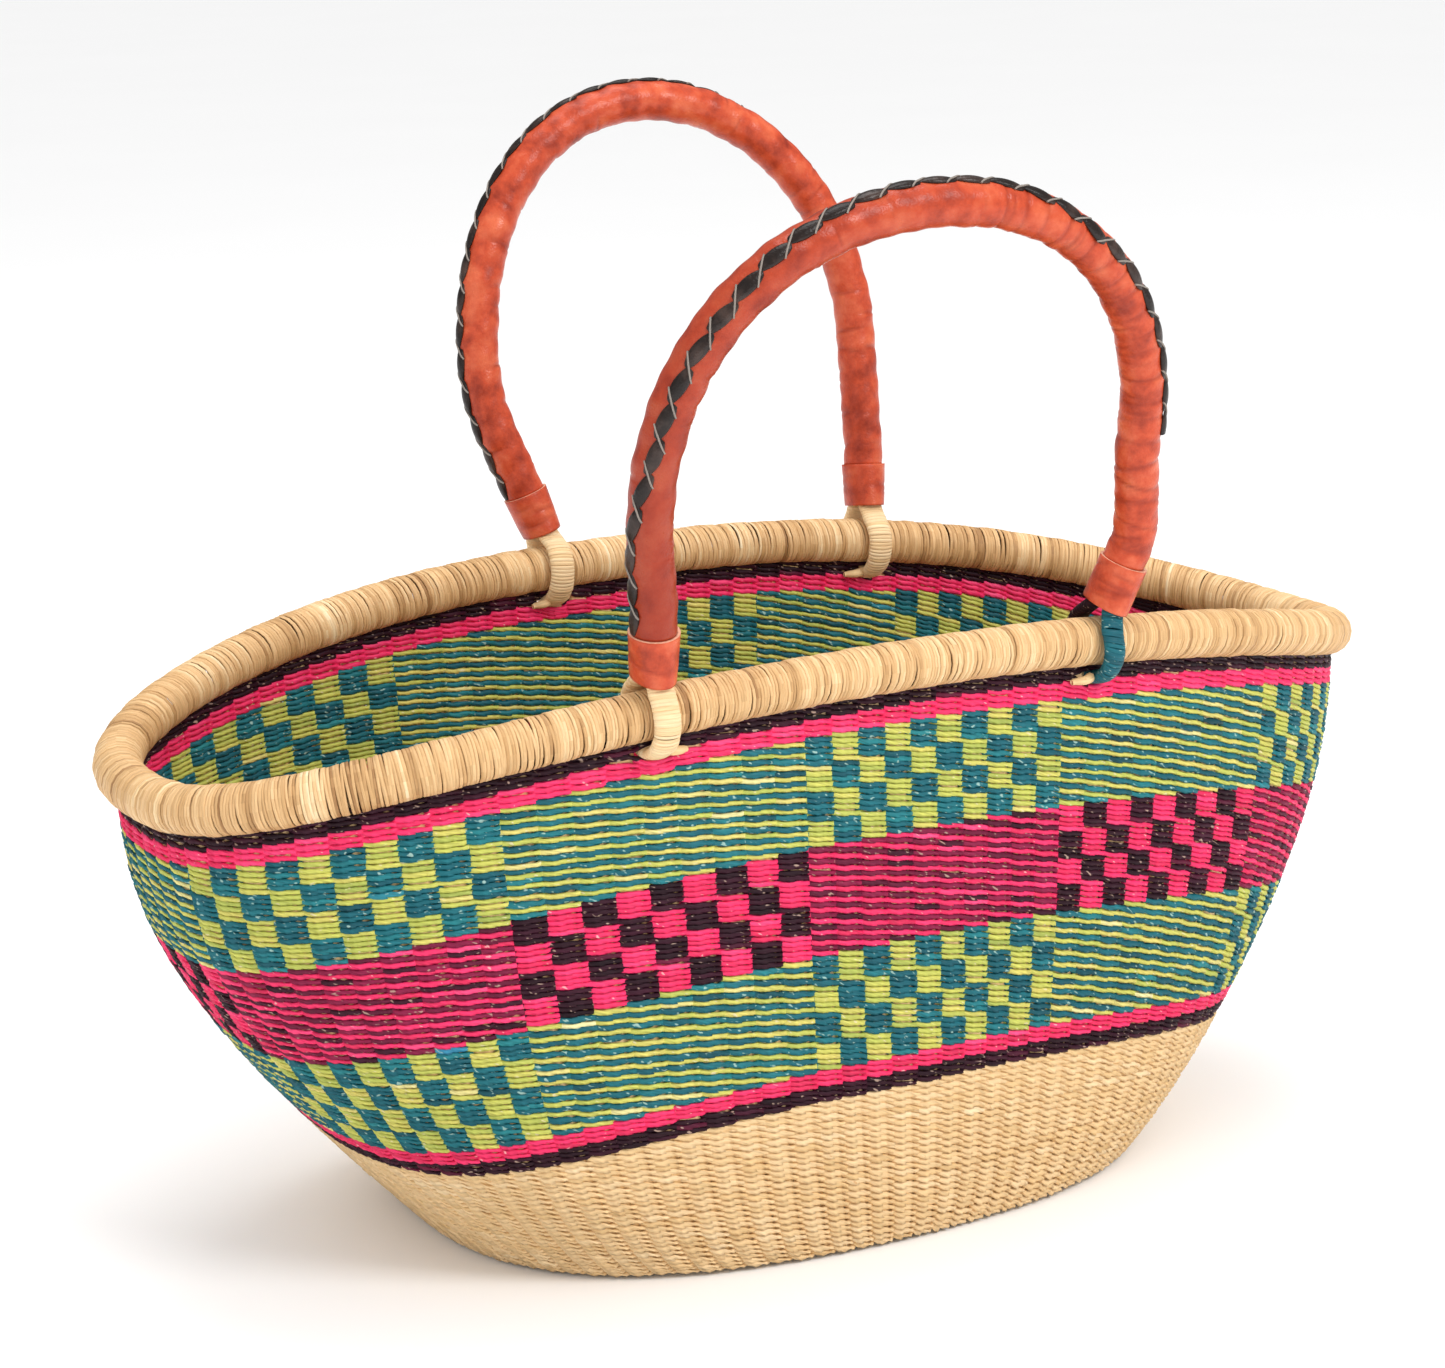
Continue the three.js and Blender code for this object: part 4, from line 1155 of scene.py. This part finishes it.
class BASKET_OT_loops(bpy.types.Operator):
    """Wind the straw loops that hold the handles to the rim"""

    bl_idname = "basket.loops"
    bl_label = "Wind Handle Loops"

    def execute(self, context):
        shape = current_shape()
        finishes = shared_materials(context)
        radius, leg_offset, leg_top = 0.0134, 0.0032, 0.021
        pitch, strand_thick, ring_points, half_up = 0.0013, 0.0008, 16, 0.0023
        line = self.centre_line(radius, leg_offset, leg_top)
        lengths = np.concatenate([[0], np.cumsum(np.linalg.norm(np.diff(line, axis=0), axis=1))])
        count = int(lengths[-1] / pitch)
        wanted = np.linspace(0, lengths[-1], count)
        centre = np.stack([np.interp(wanted, lengths, line[:, k]) for k in range(3)], -1)
        along = unit(np.gradient(centre, axis=0))
        out = np.tile([1.0, 0, 0], (count, 1))
        up = np.cross(along, out)
        for number, handle in enumerate(HANDLES):
            hs = HandleShape(handle, shape)
            for end, leg in enumerate(hs.legs):
                teal = handle["name"] == "front" and end == 1
                rng = np.random.default_rng(80 + 2 * number + end)
                half_out = np.full(count, 0.0039 if teal else 0.0049)
                slant = np.full(count, 0.0012 if teal else 0.0003)
                rings = winding(centre, along, out, up, half_out, np.full(count, half_up), pitch * 1.5,
                                strand_thick, rng, slant, ring_points, rng.normal(0, 0.00005, count))
                rise = np.maximum(0, rings[..., 2] - SLANT_START)
                rings[..., 0] += leg["sign"] * (hs.span / 2 + rise * math.tan(leg["slant"]))
                tone = np.clip(rng.normal(0.35 if teal else 0.66, 0.08, count), 0, 1)
                tone = np.repeat(tone[:, None], rings.shape[1], axis=1)
                # The teal loop's leg on the inside of the basket is wound with dark straw.
                inner_leg = (centre[:, 1] > 0) & (centre[:, 2] > 0) & teal
                finish = np.repeat(inner_leg.astype(int)[:, None], rings.shape[1], axis=1)
                materials = [finishes["teal"], finishes["black"]] if teal else [finishes["natural"]]
                name = handle["name"] + ("_left", "_right")[end] + "_loop"
                piece = grid_mesh(name + "_winding", hs.world(rings), materials, tone, finish)
                settle(piece, handle["name"] + "_handle", "teal_straw" if teal else "natural_straw", name)
        self.tuck_ends(shape, finishes)
        return {"FINISHED"}

    def tuck_ends(self, shape, finishes):
        """The loops' straw ends, which poke out of the weave beside them.

        They are outside the wall in front, and inside it behind."""
        steps, sides = 9, 8
        share = np.linspace(0, 1, steps)
        radius = 0.0019 * (1 - 0.45 * share ** 2)
        angle = 2 * np.pi * np.arange(sides) / sides
        rings = np.empty((4, steps, sides, 3))
        for k, (foot, towards) in enumerate(zip(loop_feet(shape), (1, -1, 1, 1))):
            turn = foot + towards * (0.0030 + 0.0062 * share)
            surface, out, _ = shape.read_wall(turn, 0.0128 + 0.0016 * share)
            clear = 0.0022 * np.sin(np.pi * np.minimum(share + 0.15, 1)) + 0.0008
            line = surface + out * (clear if k < 2 else -clear - shape.sizes.wall_thickness)[:, None]
            run = unit(np.gradient(line, axis=0))
            flat = unit(np.cross(run, out))
            high = np.cross(flat, run)
            rings[k] = line[:, None] + radius[:, None, None] * (
                np.cos(angle)[:, None] * flat[:, None] + np.sin(angle)[:, None] * high[:, None])
        piece = grid_mesh("loop_straw_ends", rings, [finishes["natural"]], capped=True)
        settle(piece, "basket", "natural_straw")

    def centre_line(self, radius, leg_offset, leg_top):
        """The loop's centre line in its own plane: down one leg, round under the rim and up the other."""
        top_ease, foot_ease = 0.58, 0.6
        legs = []
        for s in (-1, 1):
            legs.append(bezier((np.array([0, s * leg_offset, leg_top]),
                                np.array([0, s * leg_offset, leg_top * top_ease]),
                                np.array([0, s * radius, radius * foot_ease]),
                                np.array([0, s * radius, 0.0])), 60))
        angle = np.linspace(0, np.pi, 80)
        ring = np.stack([0 * angle, -radius * np.cos(angle), -radius * np.sin(angle)], -1)
        return np.concatenate([legs[0], ring[1:-1], legs[1][::-1]])


# ---------- Stage ----------


class BASKET_OT_stage(bpy.types.Operator):
    """Set up a pale floor, soft studio light and the camera"""

    bl_idname = "basket.stage"
    bl_label = "Set Up Stage"

    def execute(self, context):
        scene = context.scene
        scene.view_settings.view_transform = "Standard"
        self.make_floor()
        self.make_world(scene)
        self.make_light("key_light", (0.6, -1.7, 1.7), 0.9, 24.0)
        self.make_light("fill_light", (-1.7, -0.9, 1.1), 1.6, 3.0)
        self.make_light("top_light", (0.2, 0.3, 2.2), 1.4, 16.0)
        self.make_camera(scene)
        return {"FINISHED"}

    def make_floor(self):
        """A painted studio floor: matt, almost white, faintly uneven."""
        material, tree, shader = new_material("Studio floor, matt white paint")
        place = add_node(tree, "ShaderNodeTexCoord")
        uneven = add_node(tree, "ShaderNodeTexNoise", {"Vector": place.outputs["Object"], "Scale": 3.0})
        shade = add_node(tree, "ShaderNodeMapRange", {0: uneven.outputs["Fac"], 3: 0.94, 4: 0.96})
        tree.links.new(shade.outputs[0], shader.inputs["Base Color"])
        shader.inputs["Roughness"].default_value = 0.9
        mesh = bpy.data.meshes.new("studio_floor")
        # The floor lies just under the basket, clear of the lowest strands.
        reach, below = 9.0, -0.0006
        corners = [(x * reach, y * reach, below) for x, y in ((-1, -1), (1, -1), (1, 1), (-1, 1))]
        mesh.from_pydata(corners, [], [(0, 1, 2, 3)])
        mesh.materials.append(material)
        floor = bpy.data.objects.new("studio_floor", mesh)
        bpy.context.collection.objects.link(floor)

    def make_world(self, scene):
        """A white room that is dimmer in reflections, so that dark and glazed things keep their depth."""
        world = bpy.data.worlds.new("studio_world")
        world.use_nodes = True
        tree = world.node_tree
        background = tree.nodes["Background"]
        background.inputs["Color"].default_value = (1.0, 1.0, 1.0, 1.0)
        ray = add_node(tree, "ShaderNodeLightPath")
        dimmed = add_node(tree, "ShaderNodeMapRange", {0: ray.outputs["Is Glossy Ray"], 3: 1.03, 4: 0.25})
        tree.links.new(dimmed.outputs[0], background.inputs["Strength"])
        scene.world = world

    def make_light(self, name, place, size, power):
        light = bpy.data.lights.new(name, "AREA")
        light.shape = "DISK"
        light.size = size
        light.energy = power
        lamp = bpy.data.objects.new(name, light)
        lamp.location = place
        lamp.rotation_mode = "QUATERNION"
        lamp.rotation_quaternion = (Vector((0, 0, 0.15)) - Vector(place)).to_track_quat("-Z", "Y")
        bpy.context.collection.objects.link(lamp)

    def make_camera(self, scene):
        """A long lens in front of the basket, a little to the left of it and above it."""
        azimuth, elevation, roll = (math.radians(v) for v in (-27.9, 13.665, -1.796))
        distance = 1.4434
        target = Vector((-0.0143, -0.0030, 0.1938))
        back = Vector((math.sin(azimuth) * math.cos(elevation),
                       -math.cos(azimuth) * math.cos(elevation), math.sin(elevation)))
        right = (-back).cross(Vector((0, 0, 1))).normalized()
        up = back.cross(right)
        data = bpy.data.cameras.new("camera")
        data.sensor_width = 36.0
        data.lens = 93.4
        camera = bpy.data.objects.new("camera", data)
        place = Matrix((right, up, back)).transposed().to_4x4()
        spot = Matrix.Translation(target + back * distance)
        camera.matrix_world = spot @ place @ Matrix.Rotation(roll, 4, "Z")
        bpy.context.collection.objects.link(camera)
        scene.camera = camera


# ---------- Panel and registration ----------


STEPS = (BASKET_OT_stage, BASKET_OT_floor, BASKET_OT_stakes, BASKET_OT_wall, BASKET_OT_rim, BASKET_OT_grips,
         BASKET_OT_lacing, BASKET_OT_cuffs, BASKET_OT_loops)


class BASKET_PT_panel(bpy.types.Panel):
    """Sizes, colours and the steps of making the basket"""

    bl_label = "Woven Basket"
    bl_idname = "BASKET_PT_panel"
    bl_space_type = "VIEW_3D"
    bl_region_type = "UI"
    bl_category = "Basket"

    def draw(self, context):
        layout = self.layout
        for group in (context.scene.basket_sizes, context.scene.basket_colours):
            box = layout.box()
            for name in group.__annotations__:
                box.prop(group, name)
        for step in STEPS:
            layout.operator(step.bl_idname)


CLASSES = (BasketSizes, BasketColours, *STEPS, BASKET_PT_panel)


def register():
    for cls in CLASSES:
        bpy.utils.register_class(cls)
    bpy.types.Scene.basket_sizes = bpy.props.PointerProperty(type=BasketSizes)
    bpy.types.Scene.basket_colours = bpy.props.PointerProperty(type=BasketColours)


def unregister():
    del bpy.types.Scene.basket_colours
    del bpy.types.Scene.basket_sizes
    for cls in reversed(CLASSES):
        bpy.utils.unregister_class(cls)


def main():
    register()
    bpy.ops.basket.stage()
    bpy.ops.basket.floor()
    bpy.ops.basket.stakes()
    bpy.ops.basket.wall()
    bpy.ops.basket.rim()
    bpy.ops.basket.grips()
    bpy.ops.basket.lacing()
    bpy.ops.basket.cuffs()
    bpy.ops.basket.loops()


if __name__ == "__main__":
    main()
